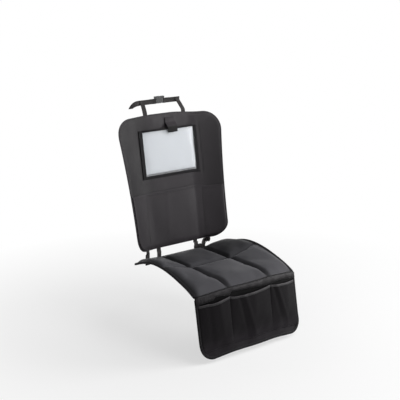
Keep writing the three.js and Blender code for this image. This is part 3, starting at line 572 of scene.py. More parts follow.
def build_pad():
    x, y = pad_grid()
    normal = cushion_normal(x, y)
    puff = quilt_shape(x, y)
    puff = puff + waves(x, y, PAD_WAVES) * (puff / PAD_CROWN)
    fold = bell((y - CROSS_SEAM + FOLD_SHIFT) / 3.2) * ease((from_pad_edge(x, y) - 12) / 20)
    top = cushion_point(x, y, PAD_LAYERS - 1) + normal * puff[..., None]
    top = top + normal * (FOLD_HEIGHT * fold)[..., None]
    bottom = cushion_point(x, y, PAD_FLOOR)
    top = simulate_quilts(top, bottom, x, y)
    # Painted shade and highlight on the quilts' colour
    depth = painted_pad_shading(x, y)
    pad = slab("pad_quilted_top", top, bottom, (x, y), QUILT, "seat_pad", depth)
    return top, x, y, normal


def simulate_quilts(top, bottom, x, y):
    """Cloth under pressure, held at its sewn lines and rim; the result stays near the shape."""
    rows, columns = top.shape[:2]
    points = np.concatenate([top.reshape(-1, 3), bottom.reshape(-1, 3)]) * MM
    mesh = bpy.data.meshes.new("swelling")
    mesh.from_pydata(points.tolist(), [], slab_faces(rows, columns))
    obj = add_object("swelling", mesh)
    to_seams = [np.abs(x - CHANNEL), np.abs(x + CHANNEL), np.abs(y - CROSS_SEAM)]
    sewn = np.min([*to_seams, from_pad_edge(x, y) - 4, y - front_seam(x)], axis=0) <= PIN_REACH
    pin = obj.vertex_groups.new(name="pin")
    pin.add(np.flatnonzero(sewn).tolist(), 1.0, "ADD")
    pin.add(list(range(rows * columns, 2 * rows * columns)), 1.0, "ADD")
    cloth = obj.modifiers.new("Cloth", "CLOTH")
    for key, value in CLOTH.items():
        setattr(cloth.settings, key, value)
    cloth.settings.effector_weights.gravity = 0
    cloth.collision_settings.use_collision = False
    cloth.point_cache.frame_start = 1
    cloth.point_cache.frame_end = SIM_FRAMES
    scene = bpy.context.scene
    for number in range(1, SIM_FRAMES + 1):
        scene.frame_set(number)
    evaluated = obj.evaluated_get(bpy.context.evaluated_depsgraph_get())
    moved = np.zeros(len(mesh.vertices) * 3)
    evaluated.data.vertices.foreach_get("co", moved)
    moved = moved.reshape(-1, 3)[: rows * columns].reshape(rows, columns, 3) / MM
    bpy.data.objects.remove(obj)
    scene.frame_set(1)
    shift = moved - top
    far = np.linalg.norm(shift, axis=-1, keepdims=True)
    shift = shift * np.minimum(1, SIM_REACH / np.maximum(far, 1e-6))
    for _ in range(6):
        around = np.pad(shift, ((1, 1), (1, 1), (0, 0)), mode="edge")
        around = around[2:, 1:-1] + around[:-2, 1:-1] + around[1:-1, 2:] + around[1:-1, :-2]
        shift = 0.4 * shift + 0.15 * around
    return top + SIM_SHARE * shift


def pad_rim():
    """Points in plan round the pad's right, rear and left edges, corners included."""
    inner = PAD_HALF - PAD_CORNER
    side_y = np.linspace(front_seam(PAD_HALF) + 2.5, PAD_REAR - PAD_CORNER, 70)
    turn = np.linspace(0, np.pi / 2, 16)[1:]
    x = np.concatenate([np.full(len(side_y), PAD_HALF), inner + PAD_CORNER * np.cos(turn)])
    y = np.concatenate([side_y, PAD_REAR - PAD_CORNER + PAD_CORNER * np.sin(turn)])
    rear = np.linspace(inner, -inner, 110)[1:-1]
    x = np.concatenate([x, rear, -x[::-1]])
    return x, np.concatenate([y, np.full(len(rear), PAD_REAR), y[::-1]])


def build_pad_trim(top, gx, gy, normal):
    x, y = pad_rim()
    normals = surface_normals(lambda a, b: cushion_point(a, b, 0), x, y)
    rim = cushion_point(x, y, PAD_LAYERS / 2)
    profile, lift = binding_profile(PAD_LAYERS, 9), PAD_LAYERS / 2 + TAPE
    bind("pad_edge", rim, normals, profile, (5.8, 5.8), lift, False, BINDING, "pad_binding")

    runs = [(top[2:-2, k], normal[2:-2, k]) for k in np.cumsum(QUILT_COLUMNS)[:2]]
    runs.append((top[QUILT_ROWS[0], 3:-3], normal[QUILT_ROWS[0], 3:-3]))
    stitches("pad_channel_stitches", runs, pitch=5.5, length=3.8)

    x, y, upright = gx[::2, ::2], gy[::2, ::2], normal[::2, ::2]
    face, back = cushion_point(x, y, 0.4) + 0.6 * upright, cushion_point(x, y, 0)
    under = slab("pad_grip_backing", face, back, (x, y), GRIP, "pad_underside")


# Back panel

FOOT = np.array([0, PAD_REAR + SETBACK, PANEL_LIFT])
UP = np.array([0, math.sin(RECLINE), math.cos(RECLINE)])
FRONT = np.array([0, -math.cos(RECLINE), math.sin(RECLINE)])


def side_half(v):
    t = v / PANEL_H
    return lerp(PANEL_BOTTOM, PANEL_TOP, t) - 4 * PANEL_WAIST * t * (1 - t)


def corner_inset(radius, into):
    inside = np.maximum(0, radius**2 - np.clip(into, 0, radius) ** 2)
    return np.where(into > 0, radius - np.sqrt(inside), 0)


def panel_half(v):
    low = corner_inset(BOTTOM_RADIUS, BOTTOM_RADIUS - v)
    high = corner_inset(TOP_RADIUS, v - (PANEL_H - TOP_RADIUS))
    return side_half(v) - low - high


def panel_wrap(x, v):
    """How far the panel's sides come forward on the bolsters."""
    aside = np.maximum(0, np.abs(x) - FLAT_HALF)
    return lerp(WRAP_BOTTOM, WRAP_TOP, v / PANEL_H) * (aside / (side_half(v) - FLAT_HALF)) ** 2


def panel_normal(x, v):
    slope_x, slope_v = slopes(panel_wrap, x, v)
    return unit(FRONT - UP * slope_v[..., None] + vec(-slope_x, 0, 0))


def panel_sag(x, v):
    """How far the panel's sides hang below its middle."""
    right = SIDE_SAG * ease((x - SAG_START) / SAG_RUN)
    wide = SIDE_SAG * ease((x - 20) / WIDE_SAG_RUN) + LEFT_SAG * ease((-x - 60) / 140)
    above = ease((v - WINDOW_TOP) / (PANEL_H - WINDOW_TOP))
    return lerp(right, wide, above) * clamp01(v / LOW_MOUTH)


def panel_point(x, v, lift):
    x, v, lift = floats(x, v, lift)
    height = v - panel_sag(x, v)
    base = vec(x, 0, 0) + FOOT + UP * height[..., None] + FRONT * panel_wrap(x, v)[..., None]
    return base + panel_normal(x, v) * lift[..., None]


def from_panel_edge(x, v):
    """How far a point lies in from the panel's edge, corners included."""
    side = side_half(v) - np.abs(x)
    inward = np.minimum(side, np.minimum(v, PANEL_H - v))
    for radius, depth in ((BOTTOM_RADIUS, v), (TOP_RADIUS, PANEL_H - v)):
        both = (side < radius) & (depth < radius)
        inward = np.where(both, radius - np.hypot(radius - side, radius - depth), inward)
    return inward


def side_turn(x):
    """The fold where the panel's right side turns round the backrest."""
    return 3.5 * (ease((x - 100) / 42) - ease((x - 150) / 90))


def painted_side_shade(x):
    """Painted shade: the panel's sides are a little darker."""
    return 0.75 * ease((-x - 60) / 90) + 0.5 * ease((x - 110) / 60)


def side_line(x, v, width):
    """The sewn line at the right of the window."""
    return bell((x - SIDE_LINE) / width) * ease((v - 262) / 16) * ease((478 - v) / 16)


def panel_roll(x, v):
    """How far the padded edge rolls back."""
    t = clamp01(from_panel_edge(x, v) / 15)
    return 3.4 * (1 - np.sqrt(1 - (1 - t) ** 2))


def panel_relief(x, v):
    """Soft folds of the panel's face, and its thinner sewn edge."""
    inward = from_panel_edge(x, v)
    high = ease((v - 462) / 20) * folds(x, v, PANEL_FOLDS)
    low = 0.6 * bell((x + 45) / 14) * (1 - ease((v - 225) / 40))
    slow = side_turn(x) + waves(x, v, [(0.3, 260, 340, 0.8)])
    soft = high + low - 0.9 * side_line(x, v, 2.2) + slow
    return 0.9 * ease(inward / 40) - 0.5 + ease(inward / 12) * soft - panel_roll(x, v)


def panel_rows(count):
    low = BOTTOM_RADIUS * (1 - np.cos(np.linspace(0, np.pi / 2, 14)))
    high = PANEL_H - TOP_RADIUS * (1 - np.cos(np.linspace(np.pi / 2, 0, 16)))
    middle = np.linspace(BOTTOM_RADIUS, PANEL_H - TOP_RADIUS, count)
    return np.concatenate([low, middle[1:-1], high])


def build_panel():
    share, v = np.meshgrid(spans([-1, 1], [110]), panel_rows(60))
    x = share * panel_half(v)
    front = panel_point(x, v, panel_relief(x, v) - 0.4)
    back = panel_point(x, v, 0.4 - PANEL_THICK + 0.7 * (1 - ease(from_panel_edge(x, v) / 20)))
    # Painted shade along the sewn line right of the window and on the panel's sides
    crease = np.maximum(0.8 * side_line(x, v, 3), painted_side_shade(x))
    panel = slab(
        "back_panel_padded", front, back, (x, v), PANEL, "back_panel", crease
    )

    side_v = panel_rows(48)
    side_x = panel_half(side_v)
    top_x = np.linspace(side_x[-1], -side_x[-1], 60)[1:-1]
    low_x = np.linspace(-side_x[0], side_x[0], 60)[1:-1]
    x = np.concatenate([low_x, side_x, top_x, -side_x[::-1]])
    v = np.concatenate([0 * low_x, side_v, np.full(len(top_x), PANEL_H), side_v[::-1]])
    rim, normals, profile = panel_point(x, v, -4.4), panel_normal(x, v), binding_profile(2.0, 6)
    replaces = "back_panel_binding"
    bind("back_panel_edge", rim, normals, profile, (2.2, 4.2), 2.1, True, EDGE, replaces)


def patch(name, x, v, lift, thickness, material, replaces=None, crease=0):
    face, back = panel_point(x, v, lift + thickness), panel_point(x, v, lift)
    return slab(name, face, back, (x, v), material, replaces, crease)


def film_rise(x, v):
    """How far the slack film stands off the panel inside its tapes."""
    side, foot = WINDOW_INNER - np.abs(x), v - WINDOW_FOOT
    ripple = waves(x, v, [(0.35, 120, 160, 0.3), (0.25, -70, 210, 1.9)])
    ripple = ripple * ease(side / SLACK_RUN * 2) * ease(foot / SLACK_RUN * 2)
    return FILM_BULGE * near(side, SLACK_RUN) * near(foot, SLACK_RUN) + ripple


def tape(name, x0, x1, v0, v1, cells, lift, replaces):
    """Tape sewn on the panel, thinner within a millimetre or two of its edges."""
    soft = 1.5
    x, v = np.meshgrid(
        spans([x0, x0 + soft, x1 - soft, x1], [2, cells[0], 2]),
        spans([v0, v0 + soft, v1 - soft, v1], [2, cells[1], 2]),
    )
    inward = np.minimum(np.minimum(x - x0, x1 - x), np.minimum(v - v0, v1 - v))
    thick = TAPE + 0.35 * (ease(inward / 1.6) - 1)
    return patch(name, x, v, lift(x, v), thick, BINDING, replaces)


def line_on_panel(x, v, lift):
    x, v, lift = floats(x, v, lift)
    return panel_point(x, v, lift), panel_normal(x, v)


def build_window():
    side = WINDOW_HALF - 18
    x, v = np.meshgrid(np.linspace(-side, side, 60), np.linspace(WINDOW_LOW + 18, WINDOW_TOP - 7, 44))
    lift, replaces = 0.9 + waves(x, v, [(0.25, 180, 130, 0.5)]), "tablet_pocket_lining"
    lining = patch("pocket_lining_cloth", x, v, lift, 0.6, LINING, replaces)

    xs = spans([-WINDOW_HALF, -WINDOW_INNER, WINDOW_INNER, WINDOW_HALF], [4, 60, 4])
    x, v = np.meshgrid(xs, spans([WINDOW_LOW, WINDOW_FOOT, WINDOW_TOP], [3, 46]))
    lift, replaces = FILM_LIFT + film_rise(x, v), "tablet_window"
    clear = patch("clear_window_film", x, v, lift, 0.5, FILM, replaces)

    half, inner, low = WINDOW_HALF, WINDOW_INNER, FILM_LIFT + 0.6
    upright, level = (WINDOW_FOOT - 1, HEM_FOOT + 1, (4, 40)), (60, 4)
    flat = lambda a, b: low + 0 * a
    left = tape("window_left_tape", -half, -inner, *upright, flat, "window_tape_left")
    right = tape("window_right_tape", inner, half, *upright, flat, "window_tape_right")
    foot = tape(
        "window_foot_tape", -half, half, WINDOW_LOW, WINDOW_FOOT, level,
        lambda a, b: low + 0.3 + 0 * a, "window_tape_bottom",
    )
    hem = tape(
        "window_mouth_tape", -half, half, HEM_FOOT, WINDOW_TOP, level,
        lambda a, b: low + 0.2 + film_rise(a, b), "window_mouth_hem",
    )

    inset, face = 2.4, low + TAPE
    vs, xs = np.linspace(WINDOW_FOOT, HEM_FOOT, 60), np.linspace(-half + 3, half - 3, 80)
    runs = [line_on_panel(s * x0, vs, face) for x0 in (half - inset, inner + inset) for s in (-1, 1)]
    runs += [line_on_panel(xs, v0, face + 0.3) for v0 in (WINDOW_LOW + inset, WINDOW_FOOT - inset)]
    runs.append(line_on_panel(xs, HEM_FOOT + 2, film_rise(xs, HEM_FOOT + 2) + face + 0.2))
    stitches("window_stitches", runs, pitch=4.5, length=3)


def build_closure():
    """The tab: sewn above the window, it bends out over the mouth and down onto its hook patch."""
    centre, half, rise, root, overlap = 15, 24, 26, 12, 20
    hook_half = 22
    hook_lift = FILM_LIFT + 0.6 + film_rise(centre, WINDOW_TOP) + TAPE + 0.7
    root_foot = WINDOW_TOP + rise
    xs = spans([centre - half, centre - half + 2, centre + half - 2, centre + half], [2, 14, 2])
    vs = np.linspace(WINDOW_TOP - overlap, root_foot + root, 44)
    x, v = np.meshgrid(xs, vs)
    lift = lerp(0.9, hook_lift + 1.2, near(root_foot - v, rise) ** 2)
    lift = lift + 0.4 * bell((v - WINDOW_TOP - 2) / 9) + 0.2 * np.sin(x / 9)
    inward = np.minimum(np.minimum(x - xs[0], xs[-1] - x), np.minimum(v - vs[0], vs[-1] - v))
    thick = 1.3 + 0.4 * (ease(inward / 2) - 1)
    shade = ease((WINDOW_TOP + 8 - v) / 8)
    tab = patch("closure_tab_cloth", x, v, lift, thick, TAB, "closure_tab", shade)
    left, right = centre - hook_half, centre + hook_half
    x, v = np.meshgrid(np.linspace(left, right, 16), np.linspace(WINDOW_TOP - 20, WINDOW_TOP - 4, 8))
    patch("closure_hook_pad", x, v, hook_lift, 0.9, HOOK, "closure_hook_patch")
    low, high = root_foot + 3, root_foot + 13
    corners = [(left, low), (right, low), (right, high), (left, high), (left, low)]
    runs = [
        line_on_panel(np.linspace(a[0], b[0], 20), np.linspace(a[1], b[1], 20), 2.3)
        for a, b in zip(corners, corners[1:])
    ]
    stitches("closure_stitches", runs, pitch=4, length=2.8, radius=0.3)


def low_edge(v, number):
    inset = 2.5
    half = side_half(v) - inset - corner_inset(BOTTOM_RADIUS - inset, BOTTOM_RADIUS - v)
    return (-half, -DIVIDER + 0 * v, DIVIDER + 0 * v, half)[number]


def low_pocket(columns, up, lift):
    """Points of the lower pocket at columns 0 to 3 over its compartments, and the painted shade there.
    """
    column, up = np.meshgrid(columns, up)
    number = np.minimum(np.floor(column), 2)
    share = column - number
    v = lerp(LOW_EDGE, LOW_MOUTH, up)
    edges = [low_edge(v, n) for n in range(4)]
    left, right = (np.select([number + k == n for n in range(4)], edges) for k in (0, 1))
    x = lerp(left, right, share)
    bulge = np.select([number == n for n in range(3)], LOW_BULGE) * np.sin(np.pi * share) ** 0.7
    rise = 0.9 + bulge * near(up, 1)
    inside = ease(np.minimum(share, 1 - share) * 9) * ease(up * 8)
    dents = 0.9 * bell((x - 106) / 10) * (1 - 0.4 * up)
    dents = dents + 1.6 * bell((x - 136) / 6) * (1 - ease((v - 60) / 40))
    slow = waves(x, v, [(0.35, 150, 260, 1.2)])
    rise = rise + inside * (folds(x, v, LOW_FOLDS) - dents + slow)
    rise = rise + ease(from_panel_edge(x, v) / 12) * side_turn(x) - panel_roll(x, v)
    # Painted shade along the dividers, along the mouth's edge and towards the left side
    crease = 0.4 * bell((np.abs(x) - DIVIDER) / 3.0) + 0.8 * bell((1 - up) / 0.008)
    crease = crease + 0.25 * ease((-x - 90) / 90)
    return x, v, panel_point(x, v, rise + lift), clamp01(crease)


def low_line(columns, up, lift):
    """A sewn line on the lower pocket, along a row or down a divider."""
    line, base = (low_pocket(columns, up, height)[2].reshape(-1, 3) for height in (lift, 0))
    return line, unit(line - base)


def build_lower_pocket():
    columns = spans([0, 1, 2, 3], [22, 66, 22])
    up = np.linspace(0, 1, 60) ** 1.25
    x, v, face, crease = low_pocket(columns, up, (0.3 + ease(up / 0.08))[:, None])
    back = low_pocket(columns, up, 0)[2]
    cloth = slab(
        "lower_pocket_cloth", face, back, (x, v), PANEL, "lower_pocket", crease
    )
    depth = LOW_MOUTH - LOW_FOOT
    up = 1 - np.array([10, 9.4, 8, 5, 2, 0.6, 0]) / depth
    crown = np.array([0.06, 0.12, 0.2, 0.3, 0.4, 0.35, 0.1])[:, None]
    x, v, low, _ = low_pocket(columns, up, 1.25)
    high = low_pocket(columns, up, 1.3 + crown)[2]
    hem = slab("lower_pocket_fold", high, low, (x, v), PANEL, "lower_pocket_hem")
    runs = [low_line(columns, [1 - 8.4 / depth], 1.6)]
    runs += [low_line([number], np.linspace(0.01, 0.94, 50), 1.35) for number in (1, 2)]
    runs.append(low_line(columns, [0.02], 0.7))
    stitches("lower_pocket_stitches", runs)


# Front flap


def flap_point(x, down, lift):
    x, down, lift = floats(x, down, lift)
    t = down / FLAP_DROP
    back = lerp(SEAM_SWEEP, FLAP_SWEEP, t) * (x / PAD_HALF) ** 2
    kick = FLAP_KICK * (np.maximum(0, t - 1 + KICK_SHARE) / KICK_SHARE) ** 2
    y = PAD_FRONT - GAP - FLAP_LEAN * down + back - kick - lift
    return vec(x, y, cushion_height(x, front_seam(x)) + PAD_LAYERS - down)


def flap_half(down):
    return FLAP_HALF - corner_inset(FLAP_CORNER, down - (FLAP_DROP - FLAP_CORNER))


def flap_waves(x, down):
    """Slow folds that the hanging flap and its pockets share."""
    hang = 0.4 * ease(down / 60) * (1 - 0.6 * ease((down - 150) / 90))
    mid = bell((down - 190) / 30)
    slow = 1.6 * np.sin(TAU * x / 150 + 0.6) + 0.9 * np.sin(TAU * x / 83 + 2.0)
    quick = 1.5 * np.sin(TAU * x / 118 + 1.1) + 1.0 * np.sin(TAU * (x / 61 + down / 90) + 0.2)
    return hang * slow + mid * quick


def flap_rows(count):
    corner = FLAP_DROP - FLAP_CORNER
    turn = np.linspace(0, np.pi / 2, 14)
    return np.concatenate([np.linspace(0, corner, count)[:-1], corner + FLAP_CORNER * np.sin(turn)])


def painted_light_low(down):
    """Painted light: the flap's foot is lighter."""
    return 3 * ease((down - 150) / 50)


def build_flap():
    share, down = np.meshgrid(spans([-1, 1], [110]), flap_rows(44))
    x = share * flap_half(down)
    shift = flap_waves(x, down)
    front = flap_point(x, down, FLAP_THICK - 0.4 + shift)
    back = flap_point(x, down, 0.3 + shift - 1.7 * (1 - ease(down / 7)))
    # Painted shade in the slit under the roll, and painted light at the foot
    shade = 2 * ease((down - 6) / 8) * (1 - ease((down - 36) / 8)) - painted_light_low(down)
    flap = slab("front_flap_cloth", front, back, (x, down), FLAP, "front_flap", shade)

    rows = flap_rows(40)[2:]
    side_x = flap_half(rows)
    low_x = np.linspace(-side_x[-1], side_x[-1], 80)[1:-1]
    x = np.concatenate([-side_x, low_x, side_x[::-1]])
    down = np.concatenate([rows, np.full(len(low_x), float(FLAP_DROP)), rows[::-1]])
    rim = flap_point(x, down, FLAP_THICK / 2 + flap_waves(x, down))
    normals = -surface_normals(lambda a, b: flap_point(a, b, flap_waves(a, b)), x, down)
    profile, lift = binding_profile(FLAP_THICK - 0.2, 8), FLAP_THICK / 2 + 0.9
    bind("flap_edge", rim, normals, profile, (5.8, 5.8), lift, False, BINDING, "flap_binding")


def pocket_half(down):
    inset = corner_inset(FLAP_CORNER - POCKET_INSET, down - (FLAP_DROP - FLAP_CORNER))
    return POCKET_HALF - inset


def pocket_at(x):
    number = np.where(x < -CHANNEL, 0, np.where(x < CHANNEL, 1, 2))
    low, high = np.take(POCKET_EDGES, number), np.take(POCKET_EDGES, number + 1)
    return number, clamp01((x - low) / (high - low))


def mouth_down(x):
    """How far down each pocket's mouth hangs: it gapes between its dividers."""
    number, share = pocket_at(x)
    start, curve = np.take((0.26, 0.0, 0.0), number), np.take((0.5, 0.4, 0.6), number)
    share = clamp01((share - start) / (1 - start))
    return MOUTH_DROP + np.take(GAPE, number) * np.sin(np.pi * share**curve) ** 2


def pocket_rise(x, down):
    """The pockets' bellies, and the folds that run down from their mouths."""
    number, share = pocket_at(x)
    below = clamp01((down - MOUTH_DROP) / (POCKET_FOOT - MOUTH_DROP))
    belly = np.take(BELLY, number) * np.sin(np.pi * share) ** 0.6 * np.cos(np.pi / 2 * below)
    away = ease(np.minimum(share, 1 - share) * 7) * (1 - 0.65 * ease((down - 120) / 90))
    return 0.4 + belly, away * folds(x, down, POCKET_FOLDS)


def pocket_cloth(column_x, share_down, lift):
    """Points of the pockets' cloth: share 0 at the mouth, 1 at the foot."""
    base_x, share = np.meshgrid(column_x, share_down)
    down = lerp(mouth_down(base_x), POCKET_FOOT, share)
    beyond = np.maximum(0, np.abs(base_x) - CHANNEL)
    squeeze = (pocket_half(down) - CHANNEL) / (POCKET_HALF - CHANNEL)
    x = np.sign(base_x) * (np.abs(base_x) - beyond * (1 - squeeze))
    belly, slant = pocket_rise(base_x, down)
    rise = np.maximum(belly + ease(share * 12 + 0.35) * slant, 0.4) + flap_waves(x, down)
    return x, down, flap_point(x, down, FLAP_THICK + rise + lift)


def build_flap_pockets():
    columns = spans(POCKET_EDGES, [36, 54, 36], cosine=True)
    share = np.linspace(0, 1, 60) ** 1.1
    x, down, face = pocket_cloth(columns, share, (0.3 + 0.9 * ease((1 - share) / 0.06))[:, None])
    back = pocket_cloth(columns, share, 0)[2]
    # Painted shade along the dividers, and painted light at the foot
    crease = 0.7 * bell((np.abs(x) - CHANNEL) / 4.0) - painted_light_low(down)
    cloth = slab(
        "flap_pocket_cloth", face, back, (x, down), FLAP, "flap_pocket_panel", crease
    )
    along = np.array([0, 0.4, 1.2, 4.5, 7.6, 8.6, 9]) / (POCKET_FOOT - MOUTH_DROP)
    crown = np.array([0.3, 0.8, 1.0, 1.1, 1.0, 0.8, 0.2])[:, None]
    # Painted shade on the lower part of the mouth tape, under its fold
    under = np.array([0, 0, 0.4, 1, 1, 1, 1])[:, None]
    x, down, low = pocket_cloth(columns, along, 1.15)
    high = pocket_cloth(columns, along, 1.15 + crown)[2]
    replaces = "flap_pocket_hem"
    hem = slab("flap_pocket_tape", high, low, (down, x), HEM_TAPE, replaces, under)
    down_share = np.linspace(0.01, 0.99, 60)
    lines = [(columns[[k]], down_share, 1.3) for k in (36, 90)]
    lines += [(columns, [7 / 171], 2.3), (columns, [0.985], 0.7)]
    lines = [pocket_cloth(*line)[2].reshape(-1, 3) for line in lines]
    runs = [(line, np.tile([0.0, -1.0, 0.0], (len(line), 1))) for line in lines]
    stitches("flap_pocket_stitches", runs)


def band_foot(x):
    """How far down the roll reaches: it is pulled up over each pocket's mouth."""
    side = 11 * (1 - clamp01((x + 168) / 74)) * ease((x + 174) / 12)
    middle = 13 * (1 - clamp01((x + 92) / 190)) * ease((x + 104) / 14) + 3 * ease((x - 70) / 40)
    return BAND_H - np.where(x < -100, side, middle) - 2 * ease((x - 100) / 60)


def band_roll(x, share, uneven=1):
    """How far the roll stands out at a share of its height."""
    swell = 0.16 * np.sin(TAU * x / 97 + 0.4) + 0.12 * np.sin(TAU * x / 41 + 1.7)
    return ROLL * np.sin(np.pi * clamp01(share)) ** ROLL_SHAPE * (1 + uneven * swell)


def build_band():
    x, share = np.meshgrid(np.linspace(-FLAP_HALF, FLAP_HALF, 190), np.linspace(0, 1, 22))
    from_end = FLAP_HALF - np.abs(x)
    down = lerp(5 * (1 - ease(from_end / 14)) + ROLL_TOP, band_foot(x), share)
    pucker = 0.35 * np.sin(TAU * x / 17 + 0.8 * np.sin(x / 30)) * bell((share - 0.05) / 0.14)
    start = FLAP_THICK + GAP + TAPE + 0.2
    face = flap_point(x, down, start + 1.6 + ease(from_end / 9) * (band_roll(x, share) + pucker))
    back = flap_point(x, down, start - (start + GAP - 1.2) * (1 - ease(share / 0.12)))
    # Painted shade along the top seam and over the roll's lower half
    crease = clamp01(0.7 * bell(share / 0.05) + ease((share - 0.5) / 0.4))
    band = slab("front_band_roll", face, back, (x, down), BAND, "front_band", crease)
    runs = []
    x = np.linspace(-238, 238, 120)
    for share, tilt in ((0.07, 0.6), (0.9, -0.6)):
        lift = start + 1.7 + band_roll(x, share)
        line = flap_point(x, lerp(ROLL_TOP, band_foot(x), share), lift)
        runs.append((line, np.tile([0, -0.8, tilt], (len(x), 1))))
    stitches("front_band_stitches", runs, pitch=4.5, length=3)
    tacks, rows = [], np.linspace(0.16, 0.86, 16)
    zigzag = vec(1.6 * np.cos(np.arange(16) * np.pi), 0, 0)
    for x0 in (-222, -205, -188, 222):
        line = flap_point(x0, BAND_H * rows, start + 1.9 + band_roll(x0, rows, 0)) + zigzag
        tacks.append((line, np.tile([0.0, -1.0, 0.0], (16, 1))))
    stitches("front_band_tacks", tacks, pitch=2.6, length=2.2, radius=0.5)


# Webbing


def catmull(points, t):
    """A centripetal curve through points, read at t from 0 to 1."""
    last = len(points) - 1
    out = []
    for place in t * last:
        k = min(int(place), last - 1)
        w = place - k
        p1, p2 = points[k], points[k + 1]
        p0 = points[k - 1] if k > 0 else 2 * points[0] - points[1]
        p3 = points[k + 2] if k + 2 <= last else 2 * points[last] - points[last - 1]
        pairs = ((p0, p1), (p1, p2), (p2, p3))
        d0, d1, d2 = (max(np.dot(a - b, a - b) ** 0.25, 1e-4) for a, b in pairs)
        m1 = ((p1 - p0) / d0 - (p2 - p0) / (d0 + d1) + (p2 - p1) / d1) * d1
        m2 = ((p2 - p1) / d1 - (p3 - p1) / (d1 + d2) + (p3 - p2) / d2) * d1
        a = 2 * p1 - 2 * p2 + m1 + m2
        b = -3 * p1 + 3 * p2 - 2 * m1 - m2
        out.append(((a * w + b) * w + m1) * w + p1)
    return np.array(out)


def web_profile(width):
    """Webbing seen end on: flat faces with thicker woven edges."""
    shape = ((2.2, 0.8), (1.2, 1.05), (0.3, 0.8), (0, 0), (0.3, -0.8), (1.2, -1.05), (2.2, -0.8))
    side = [(width / 2 - inset, WEB_THICK / 2 * up) for inset, up in shape]
    return [*side, *[(-a, -b) for a, b in side]]


def webbing(name, route, steps, width=WEB_WIDTH, replaces=None):
    """Flat webbing along a route of (point, across)."""
    points, sides = (np.array([stop[k] for stop in route], float) for k in (0, 1))
    t = np.linspace(0, 1, steps + 1)
    line = catmull(points, t)
    step = 1e-4
    tangent = unit(catmull(points, np.minimum(t + step, 1)) - catmull(points, np.maximum(t - step, 0)))
    place = t * (len(route) - 1)
    k = np.minimum(place.astype(int), len(route) - 2)
    across = lerp(sides[k], sides[k + 1], (place - k)[:, None])
    across = unit(across - tangent * np.sum(across * tangent, -1, keepdims=True))
    up = np.cross(tangent, across)
    sweep(name, line, across, up, web_profile(width), False, WEBBING, replaces)


ALONG_X, ALONG_Z = (1, 0, 0), (0, 0, 1)
UNDER_EDGE = GAP + TAPE + 0.8 + WEB_THICK / 2
BEHIND = -(PANEL_THICK + UNDER_EDGE)
STRAP_BASE = panel_point(STRAP_X, PANEL_H, BEHIND)
CROWN = np.array([STRAP_TOP_X, STRAP_BASE[1] + STRAP_BACK, STRAP_BASE[2] + STRAP_RISE])
BAND_Z = CROWN[2] - WEB_WIDTH / 2
BAND_Y = CROWN[1] + WEB_THICK * 0.8
BUCKLE_Y = BAND_Y + WEB_THICK * 2
SLOT_X = BUCKLE_HALF - BAR_W - SLOT_W / 2


def stop(side, x, y, z, across):
    """A place that webbing runs through and the way across it, on one side of the part."""
    return (side * x, y, z), across


def sewn_stop(side, x, v):
    here, beside = (panel_point(x + step, v, BEHIND) for step in (0.0, 1.0))
    across = beside - here
    return here * (side, 1, 1), (across[0], side * across[1], side * across[2])


def box_stitches(side, x, low, high):
    """A sewn square with its diagonals where webbing is sewn to the panel's back."""
    a, b, c, d = (x - 7, low), (x + 7, low), (x + 7, high), (x - 7, high)
    runs = []
    for (x0, v0), (x1, v1) in ((a, b), (b, c), (c, d), (d, a), (a, c), (b, d)):
        xs, vs = np.linspace(x0, x1, 12), np.linspace(v0, v1, 12)
        line, upright = line_on_panel(xs, vs, BEHIND - WEB_THICK / 2)
        runs.append((line * (side, 1, 1), -upright * (side, 1, 1)))
    return runs


def build_top_straps():
    """Risers up from the panel, and bands behind the headrest that fold back through the buckle."""
    layers = WEB_THICK / 2 + 0.4
    layer_y = BAR_T / 2 + layers
    turn_x = SLOT_X - SLOT_W / 2 + layers
    inward = [(share * BUCKLE_HALF, layers) for share in (2, 1.4)]
    inward += [(BUCKLE_HALF, layer_y), (SLOT_X, layer_y)]
    runs = []
    middle = (STRAP_BASE + CROWN) / 2
    for side, word in ((-1, "left"), (1, "right")):
        route = [sewn_stop(side, STRAP_X, PANEL_H + up) for up in (-STRAP_SEWN, 0, RELIEF)]
        route += [
            stop(side, (STRAP_X + STRAP_TOP_X) / 2, middle[1] - 1, middle[2], ALONG_X),
            stop(side, STRAP_TOP_X, CROWN[1] - 1, BAND_Z, ALONG_X),
            stop(side, *CROWN, ALONG_X),
        ]
        webbing(f"top_strap_{word}_riser", route, 40, replaces=f"top_strap_{word}")
        bends = [(STRAP_TOP_X + FOLD_OVER, BAND_Y), (STRAP_TOP_X, BAND_Y)]
        bends += [(x, BUCKLE_Y - apart) for x, apart in inward]
        bends += [(x, BUCKLE_Y + apart) for x, apart in ((turn_x, 0), *inward[::-1])]
        route = [stop(side, x, y, BAND_Z, ALONG_Z) for x, y in bends]
        webbing(f"top_strap_{word}_band", route, 90)
        runs += box_stitches(side, STRAP_X, PANEL_H - 26, PANEL_H - 12)
    start_x = -(STRAP_TOP_X + FOLD_OVER)
    route = [((start_x + TAIL_JOIN, BAND_Y, BAND_Z), ALONG_Z)]
    for t in (0.25, 0.5, 0.75, 1.0):
        x, y, z = start_x - TAIL_LENGTH * t, BAND_Y - TAIL_FORWARD * t**2, BAND_Z - TAIL_FALL * t**2
        turn = np.pi / 2 * t
        route.append(((x, y, z), (0, math.sin(turn), math.cos(turn))))
    webbing("top_strap_left_tail", route, 36)
    return runs


def loop_ring(x, near_y, far_y, low, high):
    """Places round a loop of webbing with rounded corners, and the way out of it at each."""
    corners = (far_y, low, -0.5), (far_y, high, 0), (near_y, high, 0.5), (near_y, low, 1)
    points, up = [], []
    for y, z, quarter in corners:
        y = y - LOOP_BEND if y == far_y else y + LOOP_BEND
        z = z - LOOP_BEND if z == high else z + LOOP_BEND
        for turn in np.pi * (quarter + np.linspace(0, 0.5, 5)):
            way = np.array([0, math.cos(turn), math.sin(turn)])
            points.append((x, y, z) + LOOP_BEND * way)
            up.append(way)
    return points, np.tile([1.0, 0, 0], (len(up), 1)), up


